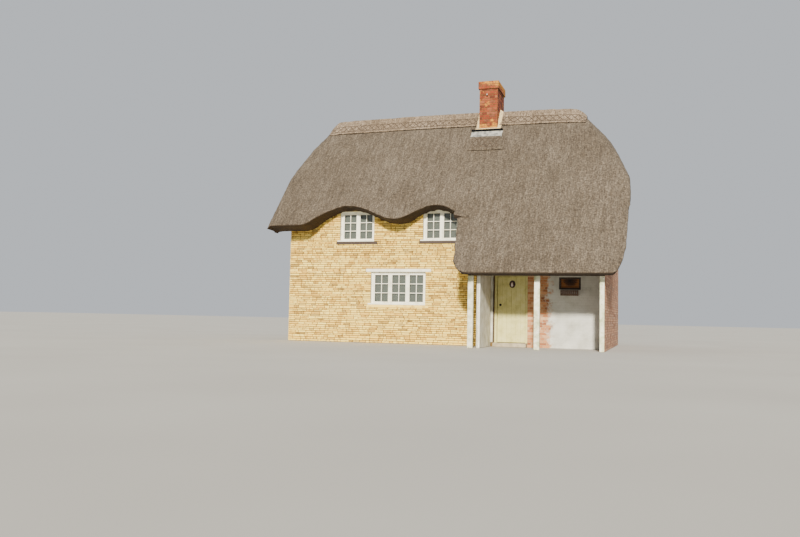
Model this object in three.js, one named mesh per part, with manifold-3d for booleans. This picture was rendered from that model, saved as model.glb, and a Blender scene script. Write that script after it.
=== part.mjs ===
// Thatched stone cottage with a verandah under one long slope of its roof.
// Millimetres, +Z up. While it is built, X runs along the front wall from its left corner,
// Y runs back from the outer face of the front wall and Z is the height above the ground.
// At the end the origin moves to the middle of the base.
import * as THREE from 'three';
import { mergeVertices } from 'three/addons/utils/BufferGeometryUtils.js';
import Module from 'manifold-3d';

const wasm = await Module();
wasm.setup();

// House body
const houseLength = 10070;
const houseDepth = 5375;
const wallThickness = 450;
const groundFloorTop = 120;
const upperFloorUnderside = 2450;
const upperFloorTop = 2650;
const seat = 0.3;

// Roof: pitches are rise over run, depths of thatch are measured plumb
const ridgeY = houseDepth / 2;
const ridgeHeight = 7710;
const ridgeSag = 50;
const mainPitch = 1.138;
const leftHipPitch = 2.3;
const leftHipBulge = 140;
const rightHipPitch = 1.57;
const rightHipBulge = 270;
const hipBulgeLowness = 1.6;
const leftRidgeEnd = 320;
const rightRidgeEnd = 9050;
const leftVerge = -480;
const rightVerge = 10690;
const rightVergeTaper = 0.56;
const vergeRounding = 120;
const ridgeRounding = 250;
const arrisRounding = 420;
const roomThatchDepth = 600;
const gableThatchDepth = 450;
const verandahThatchDepth = 390;
const capDepth = 125;
const capDepthAtFeet = 65;
const capShareAtEnd = 0.3;
const capThinning = 400;
const capBeyondRidge = 200;
const padDepth = 80;
const leadDepth = 12;

// Distances down the slope from the ridge, measured level
const capReach = 430;
const apronTop = 615;
const apronFoot = 850;
const padFoot = 1300;

// Eaves: heights of the lip and of the wall heads
const lowLip = 3790;
const cornerLipDrop = 170;
const cornerLipEnd = 1250;
const cornerLipReach = 600;
const leftEyebrowRise = 470;
const rightEyebrowRise = 440;
const eyebrowFullness = 0.7;
const eyebrowBulge = 117;
const eyebrowFade = 400;
const wallHead = 3840;
const eavesCutReach = 260;
const eavesCutDrop = 35;
const eavesDropAtWall = 100;
const eyebrowDropAtWall = 45;
const eavesToWall = 8;
const raisedHead = 4250;
const leftGableHead = 5500;
const rightGableHead = 4900;

// Long slope over the verandah: its left edge runs down and out, both lower corners are round
const longSlopeLeft = 5690;
const longSlopeCornerLeft = 5868;
const longSlopeFootLeft = 6370;
const longSlopeFootRight = 10310;
const longSlopeCornerRight = 10664;
const longSlopeLip = -2260;
const longSlopeCornerTopLeft = -1800;
const longSlopeCornerTopRight = -1200;
const longSlopeVergeTop = -300;

// Openings, each as [left, right, foot, head]
const upperLeft = [1722, 2865, 3190, 4150];
const upperRight = [4484, 5622, 3190, 4150];
const lowerFront = [2800, 4580, 1200, 2229];
const lowerBackLeft = [1722, 2865, 1200, 2229];
const lowerBackRight = [4484, 5622, 1200, 2229];
const gableUpper = [2150, 3225, 3190, 4150];
const gableLower = [2150, 3225, 1200, 2229];
const doorway = [6740, 7740, 0, 2170];
const hatch = [8656, 9282, 1721, 2082];

const material = (color, roughness, metalness = 0) =>
  new THREE.MeshStandardMaterial({ color, roughness, metalness });
const limestone = material('#e3c48f', 0.9);
const brick = material('#b5562f', 0.9);
const paintedStone = material('#c9c9bf', 0.85);
const straw = material('#9c8e7e', 1);
const ridgeStraw = material('#a8967c', 1);
const lead = material('#a9acab', 0.6, 0.4);
const whitePaint = material('#f2f0e8', 0.5);
const darkTimber = material('#4a3a2c', 0.7);
const greyTimber = material('#8d8a78', 0.8);
const creamPaint = material('#d3d3b0', 0.6);
const doorPaint = material('#c2b66a', 0.6);
const glass = material('#33424a', 0.1);
const iron = material('#1f1f1f', 0.5, 0.6);
const boards = material('#8a6a48', 0.8);

const group = new THREE.Group();

function add(name, geometry, look) {
  const mesh = new THREE.Mesh(geometry, look);
  mesh.name = name;
  group.add(mesh);
}

function box(x0, x1, y0, y1, z0, z1) {
  const geometry = new THREE.BoxGeometry(x1 - x0, y1 - y0, z1 - z0);
  geometry.translate((x0 + x1) / 2, (y0 + y1) / 2, (z0 + z1) / 2);
  return geometry;
}

function solid(geometry) {
  const plain = geometry.clone();
  plain.deleteAttribute('normal');
  plain.deleteAttribute('uv');
  const merged = mergeVertices(plain, 0.001);
  return new wasm.Manifold(new wasm.Mesh({
    numProp: 3,
    vertProperties: new Float32Array(merged.attributes.position.array),
    triVerts: new Uint32Array(merged.index.array),
  }));
}

function fromSolid(body) {
  const mesh = body.getMesh();
  const geometry = new THREE.BufferGeometry();
  geometry.setAttribute('position', new THREE.BufferAttribute(mesh.vertProperties, 3));
  geometry.setIndex(new THREE.BufferAttribute(mesh.triVerts, 1));
  return geometry;
}

function cut(geometry, ...cutters) {
  return fromSolid(cutters.reduce((body, cutter) => body.subtract(solid(cutter)), solid(geometry)));
}

function join(geometry, ...others) {
  return fromSolid(others.reduce((body, other) => body.add(solid(other)), solid(geometry)));
}

function outline(points) {
  const shape = new THREE.Shape();
  points.forEach(([a, b], i) => (i ? shape.lineTo(a, b) : shape.moveTo(a, b)));
  shape.closePath();
  return shape;
}

// A panel drawn in X and Z, thick in Y, with openings cut through it.
function frontPanel(points, openings, y0, y1) {
  const geometry = new THREE.ExtrudeGeometry(outline(points), { depth: y1 - y0, bevelEnabled: false });
  geometry.rotateX(Math.PI / 2);
  geometry.translate(0, y1, 0);
  return cut(geometry, ...openings.map(([x0, x1, z0, z1]) => box(x0, x1, y0 - 20, y1 + 20, z0, z1)));
}

// A panel drawn in Y and Z, thick in X, with openings cut through it.
function sidePanel(points, openings, x0, x1) {
  const geometry = new THREE.ExtrudeGeometry(outline(points), { depth: x1 - x0, bevelEnabled: false });
  geometry.rotateX(Math.PI / 2);
  geometry.rotateZ(Math.PI / 2);
  geometry.translate(x0, 0, 0);
  return cut(geometry, ...openings.map(([y0, y1, z0, z1]) => box(x0 - 20, x1 + 20, y0, y1, z0, z1)));
}

// A closed sheet between a grid of top points and a grid of underside points of the same size.
// In the first turnedRows rows the quads are split along their other diagonal.
function closedSheet(top, under, turnedRows = 0) {
  const columns = top.length;
  const rows = top[0].length;
  const position = [...top.flat(), ...under.flat()].flat();
  const onTop = (i, j) => i * rows + j;
  const below = (i, j) => columns * rows + i * rows + j;
  const index = [];
  const quad = (a, b, c, d) => index.push(a, b, c, a, c, d);
  for (let i = 0; i + 1 < columns; i += 1) {
    for (let j = 0; j + 1 < rows; j += 1) {
      if (j < turnedRows) {
        quad(onTop(i, j + 1), onTop(i + 1, j + 1), onTop(i + 1, j), onTop(i, j));
        quad(below(i, j + 1), below(i, j), below(i + 1, j), below(i + 1, j + 1));
      } else {
        quad(onTop(i, j), onTop(i, j + 1), onTop(i + 1, j + 1), onTop(i + 1, j));
        quad(below(i, j), below(i + 1, j), below(i + 1, j + 1), below(i, j + 1));
      }
    }
    const last = rows - 1;
    quad(onTop(i, 0), onTop(i + 1, 0), below(i + 1, 0), below(i, 0));
    quad(onTop(i, last), below(i, last), below(i + 1, last), onTop(i + 1, last));
  }
  for (let j = 0; j + 1 < rows; j += 1) {
    const last = columns - 1;
    quad(onTop(0, j), below(0, j), below(0, j + 1), onTop(0, j + 1));
    quad(onTop(last, j), onTop(last, j + 1), below(last, j + 1), below(last, j));
  }
  const corner = (k) => new THREE.Vector3().fromArray(position, 3 * index[k]);
  let volume = 0;
  for (let k = 0; k < index.length; k += 3) {
    volume += corner(k).dot(corner(k + 1).cross(corner(k + 2)));
  }
  if (volume < 0) index.reverse();
  const geometry = new THREE.BufferGeometry();
  geometry.setAttribute('position', new THREE.Float32BufferAttribute(position, 3));
  geometry.setIndex(index);
  return geometry;
}

// Roof surface. The lower of the main slope and the two hips holds, with rounded arrises.
const clamp = (value) => Math.min(1, Math.max(0, value));

function softLower(a, b, rounding) {
  const overlap = Math.max(rounding - Math.abs(a - b), 0) / rounding;
  return Math.min(a, b) - (overlap * overlap * rounding) / 4;
}

function bell(x, centre, reachLeft, reachRight) {
  const t = (x - centre) / (x < centre ? reachLeft : reachRight);
  return Math.abs(t) < 1 ? 0.5 * (1 + Math.cos(Math.PI * t)) : 0;
}
const leftEyebrow = (x) => bell(x, 2120, 1300, 1500);
const rightEyebrow = (x) => bell(x, 4980, 1100, 1050);
const eyebrowRise = (x) => (leftEyebrow(x) > rightEyebrow(x) ? leftEyebrowRise : rightEyebrowRise);
const eyebrow = (x) => Math.max(leftEyebrow(x), rightEyebrow(x)) ** eyebrowFullness;
const isRaised = (x, back) => (!back && x >= longSlopeLeft) || eyebrow(x) > 0.28;

// A hip at a share of the way from the end of the ridge to the verge. It bulges a little,
// most below its middle.
const hip = (share, fall, bulge) =>
  ridgeHeight - share * fall + bulge * Math.sin(Math.PI * clamp(share) ** hipBulgeLowness);
const leftHipFall = (leftRidgeEnd - leftVerge) * leftHipPitch;
const rightHipFall = (rightVerge - rightRidgeEnd) * rightHipPitch;

function roofHeight(x, y, back) {
  const fall = (ridgeY - y) * mainPitch;
  const sag = ridgeSag * ((x - 4600) / 4300) ** 2 * clamp(1 - fall / 2500);
  const fade = back || x < longSlopeLeft ? 1 : clamp((y - mainLip(x)) / eyebrowFade);
  const bulge = eyebrowBulge * eyebrow(x) * clamp((1300 - y) / 1700) * fade;
  const slope = ridgeHeight - sag - fall + bulge;
  const leftHip = hip((leftRidgeEnd - x) / (leftRidgeEnd - leftVerge), leftHipFall, leftHipBulge);
  const rightHip = hip((x - rightRidgeEnd) / (rightVerge - rightRidgeEnd), rightHipFall, rightHipBulge);
  const rounding = ridgeRounding + (arrisRounding - ridgeRounding) * clamp(fall / 1500);
  const inFromVerge = Math.min(x - leftVerge, rightVerge - x, vergeRounding);
  const dropAtVerge = vergeRounding - Math.sqrt(vergeRounding ** 2 - (vergeRounding - inFromVerge) ** 2);
  return softLower(softLower(slope, leftHip, rounding), rightHip, rounding) - dropAtVerge;
}

// How far forward the lip of the thatch lies at x.
function mainLip(x) {
  const drop = cornerLipDrop * THREE.MathUtils.smoothstep(cornerLipEnd - x, 0, cornerLipReach);
  const height = lowLip - drop + eyebrowRise(x) * eyebrow(x);
  return ridgeY - (ridgeHeight - height) / mainPitch - 100 * eyebrow(x);
}

function roundCorner(x, cornerX, footX, cornerY) {
  const across = (footX - x) / (footX - cornerX);
  return cornerY + (longSlopeLip - cornerY) * Math.sqrt(Math.max(0, 1 - across ** 2));
}

function lip(x, back) {
  if (back || x < longSlopeLeft) return mainLip(x);
  if (x < longSlopeCornerLeft) {
    const down = (x - longSlopeLeft) / (longSlopeCornerLeft - longSlopeLeft);
    return mainLip(longSlopeLeft) + (longSlopeCornerTopLeft - mainLip(longSlopeLeft)) * down;
  }
  if (x < longSlopeFootLeft) {
    return roundCorner(x, longSlopeCornerLeft, longSlopeFootLeft, longSlopeCornerTopLeft);
  }
  if (x < longSlopeFootRight) return longSlopeLip;
  if (x < longSlopeCornerRight) {
    return roundCorner(x, longSlopeCornerRight, longSlopeFootRight, longSlopeCornerTopRight);
  }
  const outwards = (x - longSlopeCornerRight) / (rightVerge - longSlopeCornerRight);
  return longSlopeCornerTopRight + (longSlopeVergeTop - longSlopeCornerTopRight) * outwards;
}

// Columns of the roof grid, closer at the verges, the round corners and the wall faces
const steps = (from, to, count) => Array.from({ length: count }, (_, k) => from + ((to - from) * k) / count);
const quarter = [0, 15, 30, 45, 60, 75].map((degrees) => THREE.MathUtils.degToRad(degrees));
const farGable = houseLength - wallThickness;
const roofColumns = [
  leftVerge, leftVerge + 10, leftVerge + 35,
  ...steps(leftVerge + vergeRounding, wallThickness, 4),
  wallThickness,
  ...steps(wallThickness + 20, longSlopeLeft - 40, 34),
  longSlopeLeft - 40,
  ...steps(longSlopeLeft + 10, longSlopeCornerLeft, 3),
  ...quarter.map((a) => longSlopeFootLeft - (longSlopeFootLeft - longSlopeCornerLeft) * Math.cos(a)),
  ...steps(longSlopeFootLeft, rightRidgeEnd, 9),
  ...steps(rightRidgeEnd, farGable - 20, 3),
  farGable - 20,
  ...steps(farGable, longSlopeFootRight, 4),
  ...quarter.map((a) => longSlopeFootRight + (longSlopeCornerRight - longSlopeFootRight) * Math.sin(a)),
  longSlopeCornerRight, rightVerge - 10, rightVerge,
];

// Underside of the thatch over a gable wall, and the distances at which it is drawn
function gableUnderside(y, left) {
  const x = left ? 0 : houseLength;
  const rake = ridgeHeight - ridgeSag * ((x - 4600) / 4300) ** 2 - (ridgeY - y) * mainPitch;
  return Math.min(rake - gableThatchDepth, left ? leftGableHead : rightGableHead);
}
const ridgePlane = ridgeY - seat / 2;
const undersideRows = [...steps(ridgePlane, wallThickness + 20, 10), wallThickness + 20];
const upperRows = [0, capReach / 2, capReach, apronTop, apronFoot, padFoot, 1900];
const lowerRowCount = 9;

function topColumn(x, back) {
  const rows = upperRows.map((distance) => ridgePlane - distance);
  const start = rows.at(-1);
  for (let k = 1; k <= lowerRowCount; k += 1) rows.push(start + ((lip(x, back) - start) * k) / lowerRowCount);
  return rows.map((y) => [x, y, roofHeight(x, y, back)]);
}

function undersideColumn(x, back) {
  const inGable = x < wallThickness + 10 || x > farGable - 10;
  const head = isRaised(x, back) ? raisedHead : wallHead;
  const lipY = lip(x, back);
  const lipZ = roofHeight(x, lipY, back);
  const column = undersideRows.map((y) =>
    [x, y, inGable ? gableUnderside(y, x < ridgeY) : roofHeight(x, y, back) - roomThatchDepth]);
  column.push([x, wallThickness, head], [x, -5, head]);
  if (!back && x >= longSlopeLeft) {
    const awayFromVerge = Math.min(Math.max(x, longSlopeCornerLeft + 120), longSlopeCornerRight - 300);
    const below = (y) => roofHeight(awayFromVerge, y, back) - verandahThatchDepth;
    const nearFoot = x > longSlopeCornerLeft + 30 && x < longSlopeCornerRight - 60;
    const inwards = clamp((longSlopeFootLeft - x) / 500) - clamp((x - longSlopeFootRight + 120) / 500);
    const endX = x + 90 * inwards;
    const endY = lipY + (nearFoot ? 210 : 60);
    const bendY = nearFoot ? Math.max(endY, -1760) : endY;
    column.push([x, bendY / 2, below(bendY / 2)], [endX, bendY + 1, below(bendY + 1)]);
    column.push([endX, endY, Math.min(below(endY) + 60, lipZ - 60)]);
  } else {
    const atWall = Math.min(head, lipZ) - eavesDropAtWall - eyebrowDropAtWall * eyebrow(x);
    const run = lipY + eavesCutReach + eavesToWall;
    const between = (t) => [x, run * t - eavesToWall, atWall + (lipZ - eavesCutDrop - atWall) * t];
    column.push(between(0), between(0.5), between(1));
  }
  return column;
}

// Chimney stack: from the hearth up through the upper floor and the ridge
const stack = [5733, 6333, 2150, 3300];
const stackTop = 8464;
const capTop = 8717;
const capOverhang = 38;
const flues = [[5883, 6183, 2290, 2640], [5883, 6183, 2810, 3160]];
const flueHoles = flues.map(([x0, x1, y0, y1]) => box(x0, x1, y0, y1, 8000, 9000));
const stackHole = box(stack[0] - seat, stack[1] + seat, stack[2] - seat, stack[3] + seat, 0, 9000);
add('chimney_stack', cut(box(...stack, groundFloorTop + seat, stackTop), ...flueHoles), brick);
const capBlock = box(
  stack[0] - capOverhang, stack[1] + capOverhang, stack[2] - capOverhang, stack[3] + capOverhang,
  stackTop + seat, capTop,
);
add('chimney_cap', cut(capBlock, ...flueHoles), brick);

// Thatch: one coat before the ridge and one behind it. The overhang past the right gable
// narrows towards the back.
const narrowed = ([x, y, z]) =>
  [x - Math.max(0, x - houseLength) * rightVergeTaper * clamp(y / houseDepth), y, z];
const behindRidge = ([x, y, z]) => [x, houseDepth - y, z];
for (const [name, back] of [['thatch_front', false], ['thatch_back', true]]) {
  const turn = (column) => column.map((point) => narrowed(back ? behindRidge(point) : point));
  const top = roofColumns.map((x) => turn(topColumn(x, back)));
  const under = roofColumns.map((x) => turn(undersideColumn(x, back)));
  add(name, cut(closedSheet(top, under), stackHole), straw);
}

// A layer that lies on the thatch, between two places along the ridge. Its depth may vary over it.
function layer(x0, x1, distances, depthAt, turnedRows) {
  const columns = [x0, ...roofColumns.filter((x) => x > x0 && x < x1), x1];
  const grid = (share) => columns.map((x) => distances.map((distance) => {
    const below = roofHeight(x, ridgeY - Math.abs(distance), false) + seat;
    return [x, ridgeY - distance, below + share * depthAt(x, distance)];
  }));
  return closedSheet(grid(1), grid(0), turnedRows);
}
const capDistances = [capReach, capReach / 2, 0, -capReach / 2, -capReach];
const capStart = roofColumns.find((x) => x >= leftRidgeEnd - capBeyondRidge);
const capEnd = roofColumns.findLast((x) => x <= rightRidgeEnd + capBeyondRidge);

// Ridge cap: deepest along the top, thinner at its feet and towards its free end
const capDepthAt = (x, distance) => {
  const depth = capDepth + (capDepthAtFeet - capDepth) * Math.abs(distance) / capReach;
  return depth * clamp(capShareAtEnd + Math.min(x - capStart, capEnd - x) / capThinning);
};
const capLeft = layer(capStart, stack[1], capDistances, capDepthAt, 2);
const capRight = layer(stack[0], capEnd, capDistances, capDepthAt, 2);
const beyondStack = (x0, x1) => box(x0, x1, 0, houseDepth, 6000, 9000);
add('ridge_cap_left', cut(capLeft, stackHole, beyondStack(stack[0] + 100, stack[1] + 900)), ridgeStraw);
add('ridge_cap_right', cut(capRight, stackHole, beyondStack(stack[0] - 900, stack[0] + 100)), ridgeStraw);

// Pad of thatch below the chimney, which narrows upwards on its right, and the lead above it
const padLeft = stack[0] - 235;
const padRight = stack[1] + 335;
const leadRight = padRight - 130;
const besidePad = new THREE.ExtrudeGeometry(
  outline([
    [leadRight, ridgeY - apronFoot], [padRight, ridgeY - padFoot], [padRight + 50, ridgeY - apronFoot],
  ]),
  { depth: ridgeHeight, bevelEnabled: false },
);
const pad = layer(padLeft, padRight, [apronFoot, padFoot], () => padDepth, 0);
add('chimney_thatch_pad', cut(pad, besidePad), ridgeStraw);
add('chimney_lead_apron', layer(padLeft, leadRight, [apronTop, apronFoot], () => leadDepth, 0), lead);

// Floors, inside the walls
const inner = [
  wallThickness + seat, houseLength - wallThickness - seat,
  wallThickness + seat, houseDepth - wallThickness - seat,
];
add('ground_floor', box(...inner, 0, groundFloorTop), boards);
add('upper_floor', cut(box(...inner, upperFloorUnderside, upperFloorTop), stackHole), boards);

// Heads of the front and back walls: up behind each eyebrow and under the long slope
function headLine(x0, x1, back) {
  const headAt = (x) => {
    const right = roofColumns.findIndex((column) => column >= x);
    const raised = isRaised(roofColumns[right], back)
      && (roofColumns[right] === x || isRaised(roofColumns[right - 1], back));
    return (raised ? raisedHead : wallHead) - seat;
  };
  const between = roofColumns.filter((x) => x > x0 && x < x1);
  const points = [x0, ...between, x1].map((x) => [x, headAt(x)]);
  const bends = points.filter(([, z], i) =>
    i === 0 || i === points.length - 1 || points[i - 1][1] !== z || points[i + 1][1] !== z);
  return bends.reverse();
}
const masonryOpening = ([x0, x1, z0, z1]) => [x0 - seat, x1 + seat, z0 - seat, z1 + seat];

// Front wall: left of the doorway with three windows, right of it, and over it
const lintel = [2620, 4760, -10, 130, lowerFront[3], lowerFront[3] + 91];
const grown = ([x0, x1, y0, y1, z0, z1]) => box(x0 - seat, x1 + seat, y0 - seat, y1 + seat, z0, z1 + seat);
const leftOutline = [[0, 0], [doorway[0] - seat, 0], ...headLine(0, doorway[0] - seat, false)];
const leftOpenings = [upperLeft, upperRight, lowerFront].map(masonryOpening);
const leftPanel = frontPanel(leftOutline, leftOpenings, 0, wallThickness);
add('front_wall_left', cut(leftPanel, grown(lintel)), limestone);
const underLongSlope = raisedHead - seat;
const rightWall = box(doorway[1], houseLength, 0, wallThickness, 0, underLongSlope);
const hatchOpening = masonryOpening(hatch);
const throughWall = [-20, wallThickness + 20];
const hatchHole = box(hatchOpening[0], hatchOpening[1], ...throughWall, hatchOpening[2], hatchOpening[3]);
add('front_wall_right', cut(rightWall, hatchHole), paintedStone);
const overDoor = box(doorway[0], doorway[1] - seat, 0, wallThickness, doorway[3] + seat, underLongSlope);
add('front_wall_over_door', overDoor, paintedStone);

// Back wall and gable walls
const backOutline = [[0, 0], [houseLength, 0], ...headLine(0, houseLength, true)];
const backWindows = {
  back_upper_left_window: upperRight,
  back_upper_right_window: upperLeft,
  back_lower_left_window: lowerBackRight,
  back_lower_right_window: lowerBackLeft,
};
const backOpenings = Object.values(backWindows).map(masonryOpening);
add('back_wall', frontPanel(backOutline, backOpenings, houseDepth - wallThickness, houseDepth), limestone);

function gableOutline(left) {
  const foot = wallThickness + seat;
  const rake = undersideRows.map((y) => [y + seat, gableUnderside(y, left) - seat]);
  const bends = rake.filter(([, z], i) => i > 0 && (i === rake.length - 1 || rake[i + 1][1] !== z));
  const front = [...bends, [foot, (left ? wallHead : raisedHead) - seat]].reverse();
  const back = [...bends, [foot, wallHead - seat]].map(([y, z]) => [houseDepth - y, z]);
  return [[foot, 0], ...front, ...back, [houseDepth - foot, 0]];
}
const leftOpeningsInGable = [gableUpper, gableLower].map(masonryOpening);
add('left_gable_wall', sidePanel(gableOutline(true), leftOpeningsInGable, 0, wallThickness), limestone);
const rightGable = sidePanel(gableOutline(false), [masonryOpening(gableUpper)], farGable, houseLength);
add('right_gable_wall', rightGable, brick);

// Window frames: two or three lights between rails and mullions
const frameSetBack = 90;
const frameDepth = 70;
const rail = 55;
const mullion = 50;
function windowFrame([x0, x1, z0, z1], lights, y0 = frameSetBack, depth = frameDepth) {
  const width = (x1 - x0 - 2 * rail - (lights - 1) * mullion) / lights;
  const holes = steps(x0 + rail, x0 + rail + lights * (width + mullion), lights)
    .map((left) => [left, left + width, z0 + rail, z1 - rail]);
  return frontPanel([[x0, z0], [x1, z0], [x1, z1], [x0, z1]], holes, y0, y0 + depth);
}
const paneThickness = 6;
const pane = ([x0, x1, z0, z1], y) => box(x0 + 30, x1 - 30, y, y + paneThickness, z0 + 30, z1 - 30);
const sill = ([x0, x1, z0]) => box(x0 - 120, x1 + 120, -45, -seat, z0 - 90, z0 - 5);

// Front windows: frame, glass against its inner side, and sill
const frontWindows = [
  ['upper_left_window', upperLeft, 2, darkTimber],
  ['upper_right_window', upperRight, 2, darkTimber],
  ['lower_window', lowerFront, 3, limestone],
];
frontWindows.forEach(([name, size, lights, sillLook]) => {
  add(`${name}_frame`, windowFrame(size, lights), whitePaint);
  add(`${name}_glass`, pane(size, frameSetBack + frameDepth + seat), glass);
  add(`${name}_sill`, sill(size), sillLook);
});
add('lower_window_lintel', box(...lintel.slice(0, 4), lintel[4] + seat, lintel[5]), whitePaint);

// Windows of the other sides: frame and glass in one piece
const glazedWindow = (size) => join(windowFrame(size, 2), pane(size, frameSetBack + 32));
const backShift = houseDepth - 2 * frameSetBack - frameDepth;
Object.entries(backWindows).forEach(([name, size]) => {
  add(name, glazedWindow(size).translate(0, backShift, 0), whitePaint);
});
const intoGable = (geometry, x) => geometry.rotateZ(Math.PI / 2).translate(x, 0, 0);
const leftGableShift = 2 * frameSetBack + frameDepth;
add('left_gable_upper_window', intoGable(glazedWindow(gableUpper), leftGableShift), whitePaint);
add('left_gable_lower_window', intoGable(glazedWindow(gableLower), leftGableShift), whitePaint);
add('right_gable_window', intoGable(glazedWindow(gableUpper), houseLength), whitePaint);

// Front door: frame with fixed knuckles and pins, leaf with turning knuckles, knob, step
const jamb = 70;
const leafGap = 8;
const leafOuter = 130;
const leafInner = 180;
const hinge = [doorway[1] - jamb - 4, leafInner + 12];
const hingeHeights = [420, 1820];
function upright(radius, z0, z1) {
  const geometry = new THREE.CylinderGeometry(radius, radius, z1 - z0, 24);
  geometry.rotateX(Math.PI / 2);
  geometry.translate(hinge[0], hinge[1], (z0 + z1) / 2);
  return geometry;
}
function knuckle(x0, x1, z0, z1) {
  return [upright(10, z0, z1), box(x0, x1, leafInner - 4, leafInner + 8, z0, z1)];
}
const frameOuterLeft = doorway[0] + seat;
const frameOuterRight = doorway[1] - seat;
const frameOutline = [
  [frameOuterLeft, groundFloorTop], [doorway[0] + jamb, groundFloorTop],
  [doorway[0] + jamb, doorway[3] - jamb], [doorway[1] - jamb, doorway[3] - jamb],
  [doorway[1] - jamb, groundFloorTop], [frameOuterRight, groundFloorTop],
  [frameOuterRight, doorway[3]], [frameOuterLeft, doorway[3]],
];
const fixedHinges = hingeHeights.flatMap((height) => [
  upright(5, height - 50, height + 50),
  ...knuckle(hinge[0], hinge[0] + 34, height + 27, height + 52),
  ...knuckle(hinge[0], hinge[0] + 34, height - 52, height - 27),
]);
add('door_frame', join(frontPanel(frameOutline, [], leafInner - 100, leafInner), ...fixedHinges), doorPaint);

const leafLeft = doorway[0] + jamb + leafGap;
const leafRight = doorway[1] - jamb - leafGap;
const leafBoard = box(leafLeft, leafRight, leafOuter, leafInner, groundFloorTop + 10, doorway[3] - jamb - 6);
const turningHinges = hingeHeights.flatMap((height) =>
  knuckle(leafRight - 32, hinge[0], height - 26, height + 26));
const pinHoles = hingeHeights.map((height) => upright(5.12, height - 30, height + 30));
add('door_leaf', cut(join(leafBoard, ...turningHinges), ...pinHoles), doorPaint);

const knobProfile = [[0, 0], [24, 0], [24, 6], [10, 10], [10, 32], [26, 42], [28, 54], [20, 64], [0, 68]];
const knob = new THREE.LatheGeometry(knobProfile.map(([r, h]) => new THREE.Vector2(r, h)), 20);
knob.rotateX(Math.PI);
knob.translate(leafLeft + 90, leafOuter - seat, 1247);
add('door_knob', knob, iron);
const stepTop = groundFloorTop - seat;
add('door_step', box(frameOuterLeft, frameOuterRight, -250, wallThickness, 0, stepTop), limestone);

// Hatch in the verandah wall, and the trough hung below it
add('hatch_frame', windowFrame(hatch, 1, 20, 60), darkTimber);
add('hatch_panel', box(hatch[0] + 30, hatch[1] - 30, 80 + seat, 100, hatch[2] + 30, hatch[3] - 30), boards);
const troughBlock = box(8714, 9212, -160, -seat, 1540, 1698);
add('wall_trough', cut(troughBlock, box(8734, 9192, -140, -20, 1560, 1800)), greyTimber);

// Verandah: posts joined by the plate they carry, boarded left end, brick right end
const postFront = -1760;
const postBack = -1640;
const plateFoot = 2030;
const plateTop = 2145;
const plateBack = -1650;
const posts = [[6330, 6480], [8190, 8340], [9940, 10060]];
const plate = box(posts[0][0], posts[2][1], -1750, plateBack, plateFoot, plateTop);
const uprights = posts.map(([x0, x1]) => box(x0, x1, postFront, postBack, 0, plateFoot + 1));
add('verandah_post_frame', join(plate, ...uprights), creamPaint);
const underThatch = (y) => roofHeight(houseLength, y, false) - verandahThatchDepth - 5;
const endOutline = (y) => [[y, 0], [-seat, 0], [-seat, underLongSlope - 5], [y, underThatch(y)]];
add('verandah_left_boards', sidePanel(endOutline(plateBack + seat), [], 6570, 6640), greyTimber);
add('verandah_right_end_wall', sidePanel(endOutline(postBack + seat), [], 9950, houseLength), brick);

const middle = new THREE.Box3().setFromObject(group).getCenter(new THREE.Vector3());
group.children.forEach((mesh) => mesh.geometry.translate(-middle.x, -middle.y, 0));

export default group;
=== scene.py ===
import math
import random

import bpy
from mathutils import Matrix, Vector


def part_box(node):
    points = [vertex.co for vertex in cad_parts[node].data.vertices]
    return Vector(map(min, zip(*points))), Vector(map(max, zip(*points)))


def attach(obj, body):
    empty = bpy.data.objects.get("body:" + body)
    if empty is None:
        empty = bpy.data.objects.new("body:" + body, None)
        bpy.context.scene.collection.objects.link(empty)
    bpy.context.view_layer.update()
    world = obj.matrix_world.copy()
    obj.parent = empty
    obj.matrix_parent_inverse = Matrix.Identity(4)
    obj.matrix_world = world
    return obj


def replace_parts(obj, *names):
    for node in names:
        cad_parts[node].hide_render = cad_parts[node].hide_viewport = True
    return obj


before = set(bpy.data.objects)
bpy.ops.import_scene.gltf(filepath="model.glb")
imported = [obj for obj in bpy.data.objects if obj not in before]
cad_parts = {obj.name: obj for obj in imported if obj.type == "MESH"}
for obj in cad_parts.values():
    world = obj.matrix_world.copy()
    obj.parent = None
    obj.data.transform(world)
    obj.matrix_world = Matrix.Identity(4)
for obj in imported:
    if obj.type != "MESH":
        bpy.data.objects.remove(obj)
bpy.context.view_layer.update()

bpy.ops.object.select_all(action="DESELECT")

# The place from which the cottage is seen: a good 23 m in front of the front wall, to the right of the door
# and 0.85 m above the ground, looking a little to the left and up at the roof.
eye = Vector((6.3846, -25.9251, 0.8480))
turn_left = 0.313
look_up = 0.059
lean = 0.020
ahead = Vector((
    -math.sin(turn_left) * math.cos(look_up),
    math.cos(turn_left) * math.cos(look_up),
    math.sin(look_up),
))
level = Vector((math.cos(turn_left), math.sin(turn_left), 0))
plumb = level.cross(ahead)
rightwards = level * math.cos(lean) + plumb * math.sin(lean)
upwards = plumb * math.cos(lean) - level * math.sin(lean)
camera = bpy.data.objects.new("garden_view", bpy.data.cameras.new("garden_view"))
camera.data.lens = 36.32
camera.data.clip_end = 400
camera.matrix_world = Matrix.Translation(eye) @ Matrix((rightwards, upwards, -ahead)).transposed().to_4x4()
bpy.context.collection.objects.link(camera)
bpy.context.scene.camera = camera


# The floor under the cottage and the light of the studio: a plain grey floor, an even pale room, and one
# broad warm lamp low in front and a little to the right, as an autumn sun would be.
def linear(code):
    """The linear colour of an sRGB hex code."""
    parts = [int(code[k:k + 2], 16) / 255 for k in (1, 3, 5)]
    return [part / 12.92 if part <= 0.04045 else ((part + 0.055) / 1.055) ** 2.4 for part in parts] + [1]


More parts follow.
